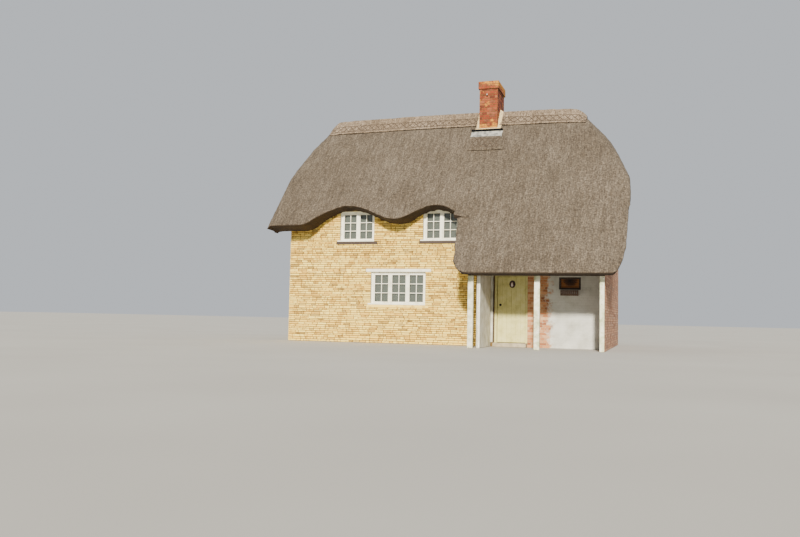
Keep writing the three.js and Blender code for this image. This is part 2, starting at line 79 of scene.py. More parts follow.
def add_node(finish, kind, inputs=None, stops=(), **settings):
    """Adds a node to a finish. An input is a value, or the output of another node, which is linked to it."""
    node = finish.node_tree.nodes.new(kind)
    for name, value in settings.items():
        setattr(node, name, value)
    for name, value in (inputs or {}).items():
        if isinstance(value, bpy.types.NodeSocket):
            finish.node_tree.links.new(value, node.inputs[name])
        else:
            node.inputs[name].default_value = value
    for k, (place, code) in enumerate(stops):
        stop = node.color_ramp.elements[k] if k < 2 else node.color_ramp.elements.new(place)
        stop.position = place
        stop.color = linear(code)
    return node


def start_finish(name):
    """An empty finish and its place on the object, in metres."""
    finish = bpy.data.materials.new(name)
    finish.use_nodes = True
    finish.node_tree.nodes.clear()
    return finish, add_node(finish, "ShaderNodeTexCoord").outputs["Object"]


def close_finish(finish, **inputs):
    """Ends a finish with its surface. The inputs are the surface's, with _ for a space."""
    spaced = {name.replace("_", " "): value for name, value in inputs.items()}
    surface = add_node(finish, "ShaderNodeBsdfPrincipled", spaced)
    add_node(finish, "ShaderNodeOutputMaterial", {"Surface": surface.outputs[0]})
    return finish


def per_metre(size):
    """How many marks of a pattern go to a metre, when one is that many millimetres across."""
    return 1000 / size


# Painted screed: an even, dull grey, with soft clouds 3.3 m across.
floor_finish, floor_place = start_finish("grey_studio_floor")
floor_cloud = add_node(floor_finish, "ShaderNodeTexNoise", {"Vector": floor_place, "Scale": per_metre(3330)})
floor_colour = add_node(
    floor_finish, "ShaderNodeValToRGB", {"Fac": floor_cloud.outputs[0]},
    stops=[(0.3, "#A6A49E"), (0.7, "#ACAAA4")],
)
close_finish(floor_finish, Base_Color=floor_colour.outputs[0], Roughness=0.9)
bpy.ops.mesh.primitive_plane_add(size=300, location=(0, 0, -0.002))
studio_floor = bpy.context.object
studio_floor.name = "studio_floor"
studio_floor.data.materials.append(floor_finish)

studio = bpy.data.worlds.new("studio")
studio.use_nodes = True
studio.node_tree.nodes["Background"].inputs["Color"].default_value = linear("#E4E9EF")
studio.node_tree.nodes["Background"].inputs["Strength"].default_value = 0.78
bpy.context.scene.world = studio
lamp = bpy.data.objects.new("low_lamp", bpy.data.lights.new("low_lamp", "SUN"))
lamp.data.energy = 9.4
lamp.data.angle = math.radians(4)
lamp.data.color = linear("#FFF6E6")[:3]
lamp.rotation_euler = Vector((0.17, -1.0, 0.50)).to_track_quat("Z", "Y").to_euler()
bpy.context.collection.objects.link(lamp)


# Rubble walls: thin honey limestone, hammer dressed and laid in courses of 5 to 8 cm in a lime mortar of the
# same sand. The joints are raked back 17 mm, so each stone shows its worn edges, and their mortar is painted
# dark as the shade in them. Inside, the walls are limewashed, and the reveals of the windows are painted
# white.
def select_only(piece):
    """Selects one piece and nothing else."""
    bpy.ops.object.select_all(action="DESELECT")
    piece.select_set(True)
    bpy.context.view_layer.objects.active = piece


def add_mesh(name, corners, edges, faces):
    """A new piece with a mesh of its own, selected alone."""
    mesh = bpy.data.meshes.new(name)
    mesh.from_pydata(corners, edges, faces)
    piece = bpy.data.objects.new(name, mesh)
    bpy.context.collection.objects.link(piece)
    select_only(piece)
    return piece


def join_pieces(pieces):
    """Makes several pieces one, which is the first of them."""
    for piece in pieces:
        piece.select_set(True)
    bpy.context.view_layer.objects.active = pieces[0]
    bpy.ops.object.join()
    return pieces[0]


def apply_modifiers(piece):
    """Makes a piece's modifiers part of its mesh."""
    select_only(piece)
    for modifier in list(piece.modifiers):
        bpy.ops.object.modifier_apply(modifier=modifier.name)


def apply_place():
    """Brings the place, turn and size of the selected piece into its mesh."""
    bpy.ops.object.transform_apply(location=True, rotation=True, scale=True)


def take_off_edges(piece, width, segments=3):
    """Rounds the arrises of a piece."""
    edges = piece.modifiers.new("arrises", "BEVEL")
    edges.width = width
    edges.segments = segments
    apply_modifiers(piece)


def give_finishes(mesh, *finishes):
    """Gives a mesh its finishes in place of the ones it had."""
    mesh.materials.clear()
    for finish in finishes:
        mesh.materials.append(finish)
    return mesh


def finish_piece(piece, name, finish, body="cottage"):
    """Brings a piece's place into its mesh, names it, gives it its finish, and fixes it to a body."""
    select_only(piece)
    apply_place()
    piece.name = name
    piece.data.name = name
    give_finishes(piece.data, finish)
    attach(piece, body)
    piece.select_set(False)
    return piece


def along_wall(corner, turn):
    """How far along a wall a corner lies, once the wall is turned by that angle to face the front."""
    return corner.x * math.cos(turn) + corner.y * math.sin(turn)


def opening_of(node, turn):
    """The left, right, bottom and top of a window or door in its wall."""
    low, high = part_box(node)
    ends = sorted((along_wall(low, turn), along_wall(high, turn)))
    return (*ends, low.z, high.z)


def bed_joints(bottom, top, openings, course, unevenness, draw):
    """The heights of the bed joints of a wall, with one at each sill and head."""
    fixed = sorted({bottom, top, *(z for opening in openings for z in opening[2:] if bottom < z < top)})
    heights = []
    for low, high in zip(fixed, fixed[1:]):
        count = max(1, round((high - low) / course))
        heights.append(low)
        for k in range(1, count):
            heights.append(low + (high - low) * (k + draw.uniform(-unevenness, unevenness)) / count)
    return [*heights, top]


shortest_stone = 0.03


def open_runs(start, end, bottom, top, openings):
    """The stretches of a course that no opening takes. One that is a centimetre into it doesn't count."""
    runs = [(start, end)]
    for left, right, sill, head in openings:
        if sill < top - 0.01 and head > bottom + 0.01:
            beside = [run for near, far in runs for run in ((near, min(far, left)), (max(near, right), far))]
            runs = [(near, far) for near, far in beside if far - near > shortest_stone]
    return runs


def rubble_lengths(total, course, draw):
    """The lengths of the stones of a stretch of rubble."""
    shortest, longest = 0.09, 0.34
    lengths = [draw.uniform(shortest, longest)]
    while sum(lengths) < total - shortest:
        lengths.append(draw.uniform(shortest, longest))
    return [length * total / sum(lengths) for length in lengths]


# How far in front of a face and inside a stone's edges its place is tried, and how far into the wall its
# back is sunk. Its arrises slope by this share of their width.
before_wall = 0.05
inside_stone = 0.02
stone_sunk = 0.006
arris_slope = 0.7


def is_on_wall(walls, foot, inward):
    """Whether a point in front of a face has one of the walls behind it."""
    return any(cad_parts[wall].ray_cast(foot, inward, distance=2 * before_wall)[0] for wall in walls)


# Beds rise and fall by this share of a course, but for those of bricks whose corners wobble less than 2 mm.
bed_unevenness = 0.18
even_wobble = 0.002
masonry_parts = ("course", "joint", "proud", "arris", "wobble")


def lay_wall(name, walls, turn, openings, unit_lengths, size, look, seed, ends=(0, 0)):
    """Lays stones or bricks over the outer face of a wall and the ends of those beside it that lie in its
    plane. size gives the course, the joint, how far a stone stands proud, its arris and how much its
    corners wobble. ends gives how far beyond the wall the face starts and stops."""
    draw = random.Random(seed)
    course, joint, proud, arris, wobble = [size[part] for part in masonry_parts]
    low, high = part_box(walls[0])
    start, end = sorted((along_wall(low, turn), along_wall(high, turn)))
    place = Matrix.Rotation(turn, 4, "Z")
    outward = place.to_3x3() @ Vector((0, -1, 0))
    face = max(low.dot(outward), high.dot(outward))
    place = Matrix.Translation(outward * face) @ place
    beds = bed_joints(low.z, high.z, openings, course, 0 if wobble < even_wobble else bed_unevenness, draw)
    corners = []
    for k, (bed, cap) in enumerate(zip(beds, beds[1:])):
        for left, right in open_runs(start + ends[0], end + ends[1], bed, cap, openings):
            at = left
            for length in unit_lengths(right - left, k, draw):
                near, far = at + joint / 2, at + length - joint / 2
                at += length
                tried = (near + inside_stone, far - inside_stone)
                feet = [place @ Vector((along, -before_wall, bed + inside_stone)) for along in tried]
                if far - near < shortest_stone or not all(is_on_wall(walls, foot, -outward) for foot in feet):
                    continue
                foot, head = bed + joint / 2, cap - joint / 2
                corners += [(near, stone_sunk, foot), (far, stone_sunk, foot)]
                corners += [(far, stone_sunk, head), (near, stone_sunk, head)]
    piece = add_mesh(name, corners, [], [tuple(range(k, k + 4)) for k in range(0, len(corners), 4)])
    bpy.ops.object.mode_set(mode="EDIT")
    bpy.ops.mesh.select_all(action="SELECT")
    bpy.ops.transform.vertex_random(offset=wobble, seed=seed)
    bpy.ops.mesh.extrude_region_move(TRANSFORM_OT_translate={"value": (0, -stone_sunk - proud, 0)})
    bpy.ops.mesh.inset(use_individual=True, thickness=arris, depth=arris * arris_slope)
    bpy.ops.mesh.select_all(action="SELECT")
    bpy.ops.mesh.normals_make_consistent(inside=False)
    bpy.ops.object.mode_set(mode="OBJECT")
    piece.matrix_world = place
    return finish_piece(piece, name, look)


facing_front = 0.0
facing_right = math.pi / 2
facing_back = math.pi
facing_left = -math.pi / 2

# Honey limestone, hammer dressed: dull and rough, each stone in a gold of its own, with browner patches 111
# mm across. Its grain is finer than 5 mm, and is drawn 22 mm across to show.
rubble, rubble_place = start_finish("honey_limestone_rubble")
stone_tone = add_node(
    rubble, "ShaderNodeValToRGB",
    {"Fac": add_node(rubble, "ShaderNodeNewGeometry").outputs["Random Per Island"]},
    stops=[
        (0.0, "#A68844"), (0.1, "#DBB150"), (0.35, "#F5CF61"), (0.7, "#FEE177"), (0.9, "#EFCE69"),
        (1.0, "#C0A35A"),
    ],
)
stone_clouds = add_node(
    rubble, "ShaderNodeTexNoise", {"Vector": rubble_place, "Scale": per_metre(111), "Detail": 4.0}
)
stone_veins = add_node(
    rubble, "ShaderNodeValToRGB", {"Fac": stone_clouds.outputs[0]},
    stops=[(0.32, "#A08050"), (0.48, "#FFFFFF"), (0.75, "#FFF8E4")],
)
stone_colour = add_node(
    rubble, "ShaderNodeMixRGB",
    {"Fac": 0.55, "Color1": stone_tone.outputs[0], "Color2": stone_veins.outputs[0]},
    blend_type="MULTIPLY",
)
stone_grain = add_node(
    rubble, "ShaderNodeTexNoise",
    {"Vector": rubble_place, "Scale": per_metre(22), "Detail": 6.0, "Roughness": 0.65},
)
stone_bump = add_node(
    rubble, "ShaderNodeBump", {"Strength": 0.8, "Distance": 0.008, "Height": stone_grain.outputs[0]}
)
close_finish(rubble, Base_Color=stone_colour.outputs[0], Roughness=0.92, Normal=stone_bump.outputs[0])

# Lime mortar of the same sand: dull and gritty, browner than the stones, and far darker than such mortar is,
# as painted shade in the raked joints. Its grit is drawn 33 mm across, ten times as coarse as it is, to show.
lime_mortar_with_painted_shade, mortar_place = start_finish("sandy_lime_mortar_painted_shade")
mortar_grains = add_node(
    lime_mortar_with_painted_shade, "ShaderNodeTexNoise", {"Vector": mortar_place, "Scale": per_metre(33), "Detail": 8.0}
)
mortar_shade_colour = add_node(
    lime_mortar_with_painted_shade, "ShaderNodeValToRGB", {"Fac": mortar_grains.outputs[0]},
    stops=[(0.3, "#4C371A"), (0.7, "#846634")],
)
mortar_bump = add_node(
    lime_mortar_with_painted_shade, "ShaderNodeBump", {"Strength": 0.9, "Distance": 0.006, "Height": mortar_grains.outputs[0]}
)
close_finish(lime_mortar_with_painted_shade, Base_Color=mortar_shade_colour.outputs[0], Roughness=0.95, Normal=mortar_bump.outputs[0])

# Limewash on plaster: chalky and warm white, in clouds a third of a metre across.
limewash, limewash_place = start_finish("inside_limewash")
limewash_clouds = add_node(
    limewash, "ShaderNodeTexNoise", {"Vector": limewash_place, "Scale": per_metre(333), "Detail": 5.0}
)
limewash_colour = add_node(
    limewash, "ShaderNodeValToRGB", {"Fac": limewash_clouds.outputs[0]},
    stops=[(0.3, "#CFC6B2"), (0.7, "#E2DBCB")],
)
limewash_bump = add_node(
    limewash, "ShaderNodeBump", {"Strength": 0.4, "Distance": 0.01, "Height": limewash_clouds.outputs[0]}
)
close_finish(limewash, Base_Color=limewash_colour.outputs[0], Roughness=0.9, Normal=limewash_bump.outputs[0])

# Old gloss paint on softwood: cream white with a soft sheen, dirtier in patches 167 mm across. The marks of
# the brush are drawn 8 mm apart to show.
white_paint, paint_place = start_finish("white_gloss_paint_on_softwood")
paint_weather = add_node(
    white_paint, "ShaderNodeTexNoise", {"Vector": paint_place, "Scale": per_metre(167), "Detail": 6.0}
)
paint_colour = add_node(
    white_paint, "ShaderNodeValToRGB", {"Fac": paint_weather.outputs[0]},
    stops=[(0.25, "#D8D3B8"), (0.5, "#F4F2E0"), (0.8, "#FBFAEC")],
)
brush_marks = add_node(
    white_paint, "ShaderNodeTexNoise", {"Vector": paint_place, "Scale": per_metre(8), "Detail": 2.0}
)
paint_bump = add_node(
    white_paint, "ShaderNodeBump", {"Strength": 0.25, "Distance": 0.002, "Height": brush_marks.outputs[0]}
)
close_finish(white_paint, Base_Color=paint_colour.outputs[0], Roughness=0.42, Normal=paint_bump.outputs[0])


def is_in_opening(corner, openings, turn):
    """Whether a place lies in one of the openings of a wall or on its edge."""
    along = along_wall(corner, turn)
    edge = 0.01
    return any(
        left - edge < along < right + edge and sill - edge < corner.z < head + edge
        for left, right, sill, head in openings
    )


def coat_wall(node, outer_look, inward, openings=(), turn=0):
    """Gives a wall its outer finish, limewash on the faces that look inward, and white paint round its
    openings."""
    mesh = give_finishes(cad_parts[node].data, outer_look, limewash, white_paint)
    for face in mesh.polygons:
        lean = face.normal.dot(inward)
        if abs(lean) < 0.1 and is_in_opening(face.center, openings, turn):
            face.material_index = 2
        else:
            face.material_index = 1 if lean > 0.9 else 0


rubble_size = {"course": 0.065, "joint": 0.017, "proud": 0.017, "arris": 0.006, "wobble": 0.005}
front_framed = (
    "upper_left_window_frame", "upper_right_window_frame", "lower_window_frame", "lower_window_lintel"
)
front_openings = [opening_of(node, facing_front) for node in front_framed]
back_windows = [f"back_{row}_{side}_window" for row in ("upper", "lower") for side in ("left", "right")]
back_openings = [opening_of(node, facing_back) for node in back_windows]
left_windows = ["left_gable_upper_window", "left_gable_lower_window"]
left_openings = [opening_of(node, facing_left) for node in left_windows]
wall_thickness = 0.45
lintel_height = 0.091
lintel_bearing = 0.120


def with_lintels(openings):
    """Some openings and the lintels over them."""
    lintels = []
    for left, right, _, head in openings:
        lintels.append((left - lintel_bearing, right + lintel_bearing, head, head + lintel_height))
    return [*openings, *lintels]


coat_wall("front_wall_left", lime_mortar_with_painted_shade, Vector((0, 1, 0)), front_openings, facing_front)
coat_wall("back_wall", lime_mortar_with_painted_shade, Vector((0, -1, 0)), back_openings, facing_back)
coat_wall("left_gable_wall", lime_mortar_with_painted_shade, Vector((1, 0, 0)), left_openings, facing_left)
end_of_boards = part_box("verandah_left_boards")[1].x
behind_boards_top = 2.60
behind_boards = (end_of_boards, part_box("door_frame")[0].x, 0, behind_boards_top)
lay_wall(
    "front_wall_stones", ["front_wall_left"], facing_front, [*front_openings, behind_boards], rubble_lengths,
    rubble_size, rubble, seed=11, ends=(-0.01, 0),
)
lay_wall(
    "back_wall_stones", ["back_wall"], facing_back, with_lintels(back_openings), rubble_lengths, rubble_size,
    rubble, seed=12, ends=(-0.01, 0.01),
)
lay_wall(
    "left_gable_stones", ["left_gable_wall", "front_wall_left", "back_wall"], facing_left,
    with_lintels(left_openings), rubble_lengths, rubble_size, rubble, seed=13,
    ends=(-wall_thickness - 0.01, wall_thickness + 0.01),
)

# Brickwork of the right gable and of the verandah's end wall: handmade orange-red bricks, 215 by 65 mm, laid
# with three courses of stretchers to one of headers in 10 mm joints of lime mortar.
brick_length = 0.225
header_length = brick_length / 2


def brick_lengths(total, course, draw):
    """The lengths of the bricks of a course, each with its joint, begun with a half brick in every second
    course."""
    length = header_length if course % 4 == 3 else brick_length
    first = length / 2 if course % 2 else length
    lengths = [min(first, total)]
    while sum(lengths) < total - 0.02:
        lengths.append(min(length, total - sum(lengths)))
    return lengths


# Handmade brick, thrown in sand: dull and orange-red, each one burnt a little differently, with stains 71 mm
# across. The sand is drawn 11 mm across to show.
handmade_brick, brick_place = start_finish("handmade_red_brick")
brick_tone = add_node(
    handmade_brick, "ShaderNodeValToRGB",
    {"Fac": add_node(handmade_brick, "ShaderNodeNewGeometry").outputs["Random Per Island"]},
    stops=[(0.0, "#7C5440"), (0.25, "#9E7054"), (0.5, "#B08364"), (0.75, "#BE977A"), (1.0, "#8E7062")],
)
brick_clouds = add_node(
    handmade_brick, "ShaderNodeTexNoise", {"Vector": brick_place, "Scale": per_metre(71), "Detail": 5.0}
)
brick_stains = add_node(
    handmade_brick, "ShaderNodeValToRGB", {"Fac": brick_clouds.outputs[0]},
    stops=[(0.3, "#8A6A58"), (0.5, "#FFFFFF"), (0.75, "#FFE9D0")],
)
brick_colour = add_node(
    handmade_brick, "ShaderNodeMixRGB",
    {"Fac": 0.6, "Color1": brick_tone.outputs[0], "Color2": brick_stains.outputs[0]},
    blend_type="MULTIPLY",
)
brick_grain = add_node(
    handmade_brick, "ShaderNodeTexNoise", {"Vector": brick_place, "Scale": per_metre(11), "Detail": 6.0}
)
brick_bump = add_node(
    handmade_brick, "ShaderNodeBump", {"Strength": 0.6, "Distance": 0.004, "Height": brick_grain.outputs[0]}
)
close_finish(handmade_brick, Base_Color=brick_colour.outputs[0], Roughness=0.9, Normal=brick_bump.outputs[0])

brick_size = {"course": 0.075, "joint": 0.010, "proud": 0.003, "arris": 0.003, "wobble": 0.0015}
right_openings = [opening_of("right_gable_window", facing_right)]
coat_wall("right_gable_wall", lime_mortar_with_painted_shade, Vector((-1, 0, 0)), right_openings, facing_right)
give_finishes(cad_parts["verandah_right_end_wall"].data, lime_mortar_with_painted_shade)
lay_wall(
    "right_gable_bricks", ["right_gable_wall", "front_wall_right", "back_wall"], facing_right,
    with_lintels(right_openings), brick_lengths, brick_size, handmade_brick, seed=21,
    ends=(-wall_thickness, wall_thickness),
)
for name, turn, seed in (
    ("outer", facing_right, 22), ("front", facing_front, 23), ("inner", facing_left, 24)
):
    lay_wall(
        f"verandah_end_bricks_{name}", ["verandah_right_end_wall"], turn,
        right_openings if turn == facing_right else [], brick_lengths, brick_size, handmade_brick,
        seed=seed,
    )

# Windows: softwood casements painted white, each light hung in a frame that is set back from the wall's face.
# The stiles and rails are 38 mm wide and the glazing bars 20 mm, and each light has two panes by three.

# Drawn window glass: smooth, with slow waves 400 mm long in what it mirrors. Its grey-green colour, half of
# it diffuse, is painted reflection, and painted shade for the dark rooms behind it.
glass_with_painted_reflection_and_shade, glass_place = start_finish("old_window_glass")
glass_waves = add_node(
    glass_with_painted_reflection_and_shade, "ShaderNodeTexNoise", {"Vector": glass_place, "Scale": per_metre(400), "Detail": 0.0}
)
glass_bump = add_node(
    glass_with_painted_reflection_and_shade, "ShaderNodeBump", {"Strength": 0.06, "Distance": 0.01, "Height": glass_waves.outputs[0]}
)
close_finish(
    glass_with_painted_reflection_and_shade, Base_Color=linear("#70776F"), Roughness=0.03, IOR=1.5, Transmission_Weight=0.5,
    Normal=glass_bump.outputs[0],
)

stile = 0.038
glazing_bar = 0.020
sash_depth = 0.036
bar_depth = 0.022
bars_behind_face = 0.006
frame_rail = 0.055
mullion = 0.050
play = 0.004


def cut_panes(piece, width, height, strip, depth, each_pane):
    """Sizes an upright sheet, cuts its middle or each of its panes out but for a strip round it, and
    thickens it."""
    piece.scale = (width, height, 1)
    apply_place()
    bpy.ops.object.mode_set(mode="EDIT")
    bpy.ops.mesh.select_all(action="SELECT")
    bpy.ops.mesh.inset(use_individual=each_pane, thickness=strip)
    bpy.ops.mesh.delete(type="FACE")
    bpy.ops.object.mode_set(mode="OBJECT")
    piece.modifiers.new("depth", "SOLIDIFY").thickness = depth
    apply_modifiers(piece)


def make_light(width, height):
    """A light of two panes by three: its frame with the middle cut out, and a lattice of bars behind its
    face."""
    bpy.ops.mesh.primitive_plane_add(size=1, rotation=(math.pi / 2, 0, 0))
    light = bpy.context.object
    cut_panes(light, width, height, stile, sash_depth, each_pane=False)
    bpy.ops.mesh.primitive_grid_add(x_subdivisions=2, y_subdivisions=3, size=1, rotation=(math.pi / 2, 0, 0))
    bars = bpy.context.object
    glazed_width, glazed_height = width - 2 * stile, height - 2 * stile
    cut_panes(
        bars, glazed_width + glazing_bar, glazed_height + glazing_bar, glazing_bar / 2, bar_depth,
        each_pane=True,
    )
    bars.location.y = bars_behind_face
    join_pieces([light, bars])
    take_off_edges(light, 0.003, segments=2)
    return light


def glaze_window(node, count, turn):
    """Hangs a row of lights in a window frame, a little in front of its glass."""
    left, right, bottom, top = opening_of(node, turn)
    width = (right - left - 2 * frame_rail - (count - 1) * mullion) / count
    height = top - bottom - 2 * frame_rail
    low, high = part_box(node)
    outward = Matrix.Rotation(turn, 3, "Z") @ Vector((0, -1, 0))
    face = max(low.dot(outward), high.dot(outward)) - play
    lights = []
    for k in range(count):
        light = make_light(width - play, height - play)
        middle = left + frame_rail + width / 2 + k * (width + mullion)
        place = Matrix.Rotation(turn, 4, "Z") @ Matrix.Translation((middle, 0, (bottom + top) / 2))
        light.matrix_world = Matrix.Translation(outward * face) @ place
        lights.append(light)
    name = node.replace("_frame", "") + "_lights"
    return finish_piece(join_pieces(lights), name, white_paint)


for window, count in (("upper_left_window", 2), ("upper_right_window", 2), ("lower_window", 3)):
    give_finishes(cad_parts[window + "_frame"].data, white_paint)
    glaze_window(window + "_frame", count, facing_front)
    give_finishes(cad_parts[window + "_glass"].data, glass_with_painted_reflection_and_shade)

plain_windows = {node: facing_back for node in back_windows}
plain_windows.update({node: facing_left for node in left_windows})
plain_windows["right_gable_window"] = facing_right
pane_depths = (0.03, 0.04)
for node, turn in plain_windows.items():
    glaze_window(node, 2, turn)
    outward = Matrix.Rotation(turn, 3, "Z") @ Vector((0, -1, 0))
    front = max(corner.dot(outward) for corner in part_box(node))
    mesh = give_finishes(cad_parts[node].data, white_paint, glass_with_painted_reflection_and_shade)
    for face in mesh.polygons:
        is_pane = pane_depths[0] < front - face.center.dot(outward) < pane_depths[1]
        face.material_index = 1 if is_pane and abs(face.normal.dot(outward)) > 0.9 else 0

# Sills and lintels: dark stained boards under the front's upper windows, a stone slab under its lower one,
# and a white nosed cill board on each. The lower one's lintel is a squared timber painted white. The other
# walls have white painted boards, nailed on over and under each window.

# Softwood in old stain: brown-black and dull, its grain along the board. The grain is drawn 17 mm wide to
# show.
dark_timber, dark_place = start_finish("dark_stained_timber")
dark_stretch = add_node(
    dark_timber, "ShaderNodeMapping",
    {"Vector": dark_place, "Scale": (per_metre(333), per_metre(17), per_metre(17))},
)
dark_grain = add_node(
    dark_timber, "ShaderNodeTexNoise", {"Vector": dark_stretch.outputs[0], "Scale": 1.0, "Detail": 5.0}
)
dark_colour = add_node(
    dark_timber, "ShaderNodeValToRGB", {"Fac": dark_grain.outputs[0]},
    stops=[(0.3, "#231A14"), (0.7, "#4B3A2E")],
)
dark_bump = add_node(
    dark_timber, "ShaderNodeBump", {"Strength": 0.5, "Distance": 0.003, "Height": dark_grain.outputs[0]}
)
close_finish(dark_timber, Base_Color=dark_colour.outputs[0], Roughness=0.7, Normal=dark_bump.outputs[0])


def make_board(name, low, high, edge, finish, body="cottage"):
    """A planed board between two corners, its arrises taken off."""
    bpy.ops.mesh.primitive_cube_add(size=1, location=(Vector(low) + Vector(high)) / 2)
    board = bpy.context.object
    board.scale = Vector(high) - Vector(low)
    apply_place()
    take_off_edges(board, edge)
    return finish_piece(board, name, finish, body)


for node in ("upper_left_window_sill", "upper_right_window_sill"):
    low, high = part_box(node)
    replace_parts(make_board(node + "_board", low, high, 0.006, dark_timber), node)
low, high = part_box("lower_window_sill")
slab = make_board("lower_window_sill_slab", low, high, 0.010, rubble)
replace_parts(slab, "lower_window_sill")
low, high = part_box("lower_window_lintel")
lintel = make_board("lower_window_lintel_timber", low, high, 0.008, white_paint)
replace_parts(lintel, "lower_window_lintel")

# The gap that is left between two pieces that meet.
hairline = 0.001
cill_past_left = 0.085
cill_past_right = 0.020
cill_nosing = 0.006
cill_top = 0.042
cill_edge = 0.008
for window in ("upper_left_window", "upper_right_window", "lower_window"):
    low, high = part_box(window + "_frame")
    sill_low, sill_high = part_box(window + "_sill")
    make_board(
        window + "_cill_board", (low.x - cill_past_left, sill_low.y - cill_nosing, sill_high.z + hairline),
        (high.x + cill_past_right, low.y, sill_high.z + cill_top), cill_edge, white_paint,
    )


# How far a board stands off the face it is nailed on.
seat = 0.0005


def painted_board_on_wall(name, wall, turn, left, right, bottom, top, proud, edge):
    """A board painted white that stands proud of the outer face of a wall, between its four edges."""
    place = Matrix.Rotation(turn, 3, "Z")
    outward = place @ Vector((0, -1, 0))
    face = max(corner.dot(outward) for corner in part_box(wall))
    near = place @ Vector((left, -face - proud, bottom))
    far = place @ Vector((right, -face - seat, top))
    low = [min(pair) for pair in zip(near, far)]
    high = [max(pair) for pair in zip(near, far)]
    return make_board(name, low, high, edge, white_paint)


walls_of_windows = {
    facing_back: "back_wall", facing_left: "left_gable_wall", facing_right: "right_gable_wall"
}
lintel_proud = 0.018
sill_bearing = 0.060
sill_height = 0.045
sill_proud = 0.055
for node, turn in plain_windows.items():
    left, right, sill, head = opening_of(node, turn)
    painted_board_on_wall(
        node + "_lintel", walls_of_windows[turn], turn, left - lintel_bearing, right + lintel_bearing,
        head + hairline, head + lintel_height, lintel_proud, 0.006,
    )
    painted_board_on_wall(
        node + "_sill", walls_of_windows[turn], turn, left - sill_bearing, right + sill_bearing,
        sill - sill_height, sill - hairline, sill_proud, 0.008,
    )


# The wall under the verandah and over the door: the same brick in a pale grey-white limewash, which is whole
# over its right part and has come off beside the door and over it.
def paint_over(finish, place, under):
    """The colour of brickwork under old limewash, which is whole on the right and has flaked off beside the
    door."""
    across = add_node(finish, "ShaderNodeSeparateXYZ", {"Vector": place})
    flakes = add_node(
        finish, "ShaderNodeTexNoise",
        {"Vector": place, "Scale": per_metre(200), "Detail": 6.0, "Roughness": 0.7},
    )
    ragged = add_node(
        finish, "ShaderNodeMath", {0: across.outputs["X"], 1: flakes.outputs[0]}, operation="ADD"
    )
    whole = add_node(
        finish, "ShaderNodeMapRange", {"Value": ragged.outputs[0], "From Min": 3.70, "From Max": 3.86}
    )
    grime = add_node(finish, "ShaderNodeTexNoise", {"Vector": place, "Scale": per_metre(400), "Detail": 6.0})
    paint = add_node(
        finish, "ShaderNodeValToRGB", {"Fac": grime.outputs[0]},
        stops=[(0.25, "#A9A89C"), (0.5, "#C9C9BF"), (0.75, "#D6D6CE")],
    )
    return add_node(
        finish, "ShaderNodeMixRGB", {"Fac": whole.outputs[0], "Color1": under, "Color2": paint.outputs[0]}
    ).outputs[0]


# The same brick, warm orange where the coat has come off, its arrises plain to see under the coat. Its sand
# is drawn 17 mm across to show.
flaking_brick, flaking_place = start_finish("brick_under_flaking_limewash")
flaking_tone = add_node(
    flaking_brick, "ShaderNodeValToRGB",
    {"Fac": add_node(flaking_brick, "ShaderNodeNewGeometry").outputs["Random Per Island"]},
    stops=[(0.0, "#8E5638"), (0.3, "#B4764C"), (0.6, "#C58C60"), (0.85, "#D6AE88"), (1.0, "#A97856")],
)
flaking_grain = add_node(
    flaking_brick, "ShaderNodeTexNoise", {"Vector": flaking_place, "Scale": per_metre(17), "Detail": 6.0}
)
flaking_bump = add_node(
    flaking_brick, "ShaderNodeBump", {"Strength": 0.6, "Distance": 0.004, "Height": flaking_grain.outputs[0]}
)
close_finish(
    flaking_brick, Base_Color=paint_over(flaking_brick, flaking_place, flaking_tone.outputs[0]),
    Roughness=0.9, Normal=flaking_bump.outputs[0],
)

# Its mortar, paler than the bare brick. Its grit is drawn 25 mm across to show.
flaking_mortar, flaking_mortar_place = start_finish("mortar_under_flaking_limewash")
joint_grains = add_node(
    flaking_mortar, "ShaderNodeTexNoise",
    {"Vector": flaking_mortar_place, "Scale": per_metre(25), "Detail": 6.0},
)
joint_colour = add_node(
    flaking_mortar, "ShaderNodeValToRGB", {"Fac": joint_grains.outputs[0]},
    stops=[(0.3, "#A08A68"), (0.7, "#CBB894")],
)
joint_bump = add_node(
    flaking_mortar, "ShaderNodeBump", {"Strength": 0.6, "Distance": 0.004, "Height": joint_grains.outputs[0]}
)
close_finish(
    flaking_mortar, Base_Color=paint_over(flaking_mortar, flaking_mortar_place, joint_colour.outputs[0]),
    Roughness=0.92, Normal=joint_bump.outputs[0],
)

coat_wall("front_wall_right", flaking_mortar, Vector((0, 1, 0)))
coat_wall("front_wall_over_door", flaking_mortar, Vector((0, 1, 0)))
right_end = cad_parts["front_wall_right"].data
right_end.materials.append(lime_mortar_with_painted_shade)
for face in right_end.polygons:
    if face.normal.x > 0.9 and face.center.x > 4.9:
        face.material_index = 3
lay_wall(
    "verandah_wall_bricks", ["front_wall_right"], facing_front, [opening_of("hatch_frame", facing_front)],
    brick_lengths, brick_size, flaking_brick, seed=31,
)
lay_wall(
    "over_door_bricks", ["front_wall_over_door"], facing_front, [], brick_lengths, brick_size, flaking_brick,
    seed=32,
)

# Floors: elm boards 180 mm wide, nailed side by side over the whole of each storey and waxed brown. They show
# through the open doorway and the upper windows.

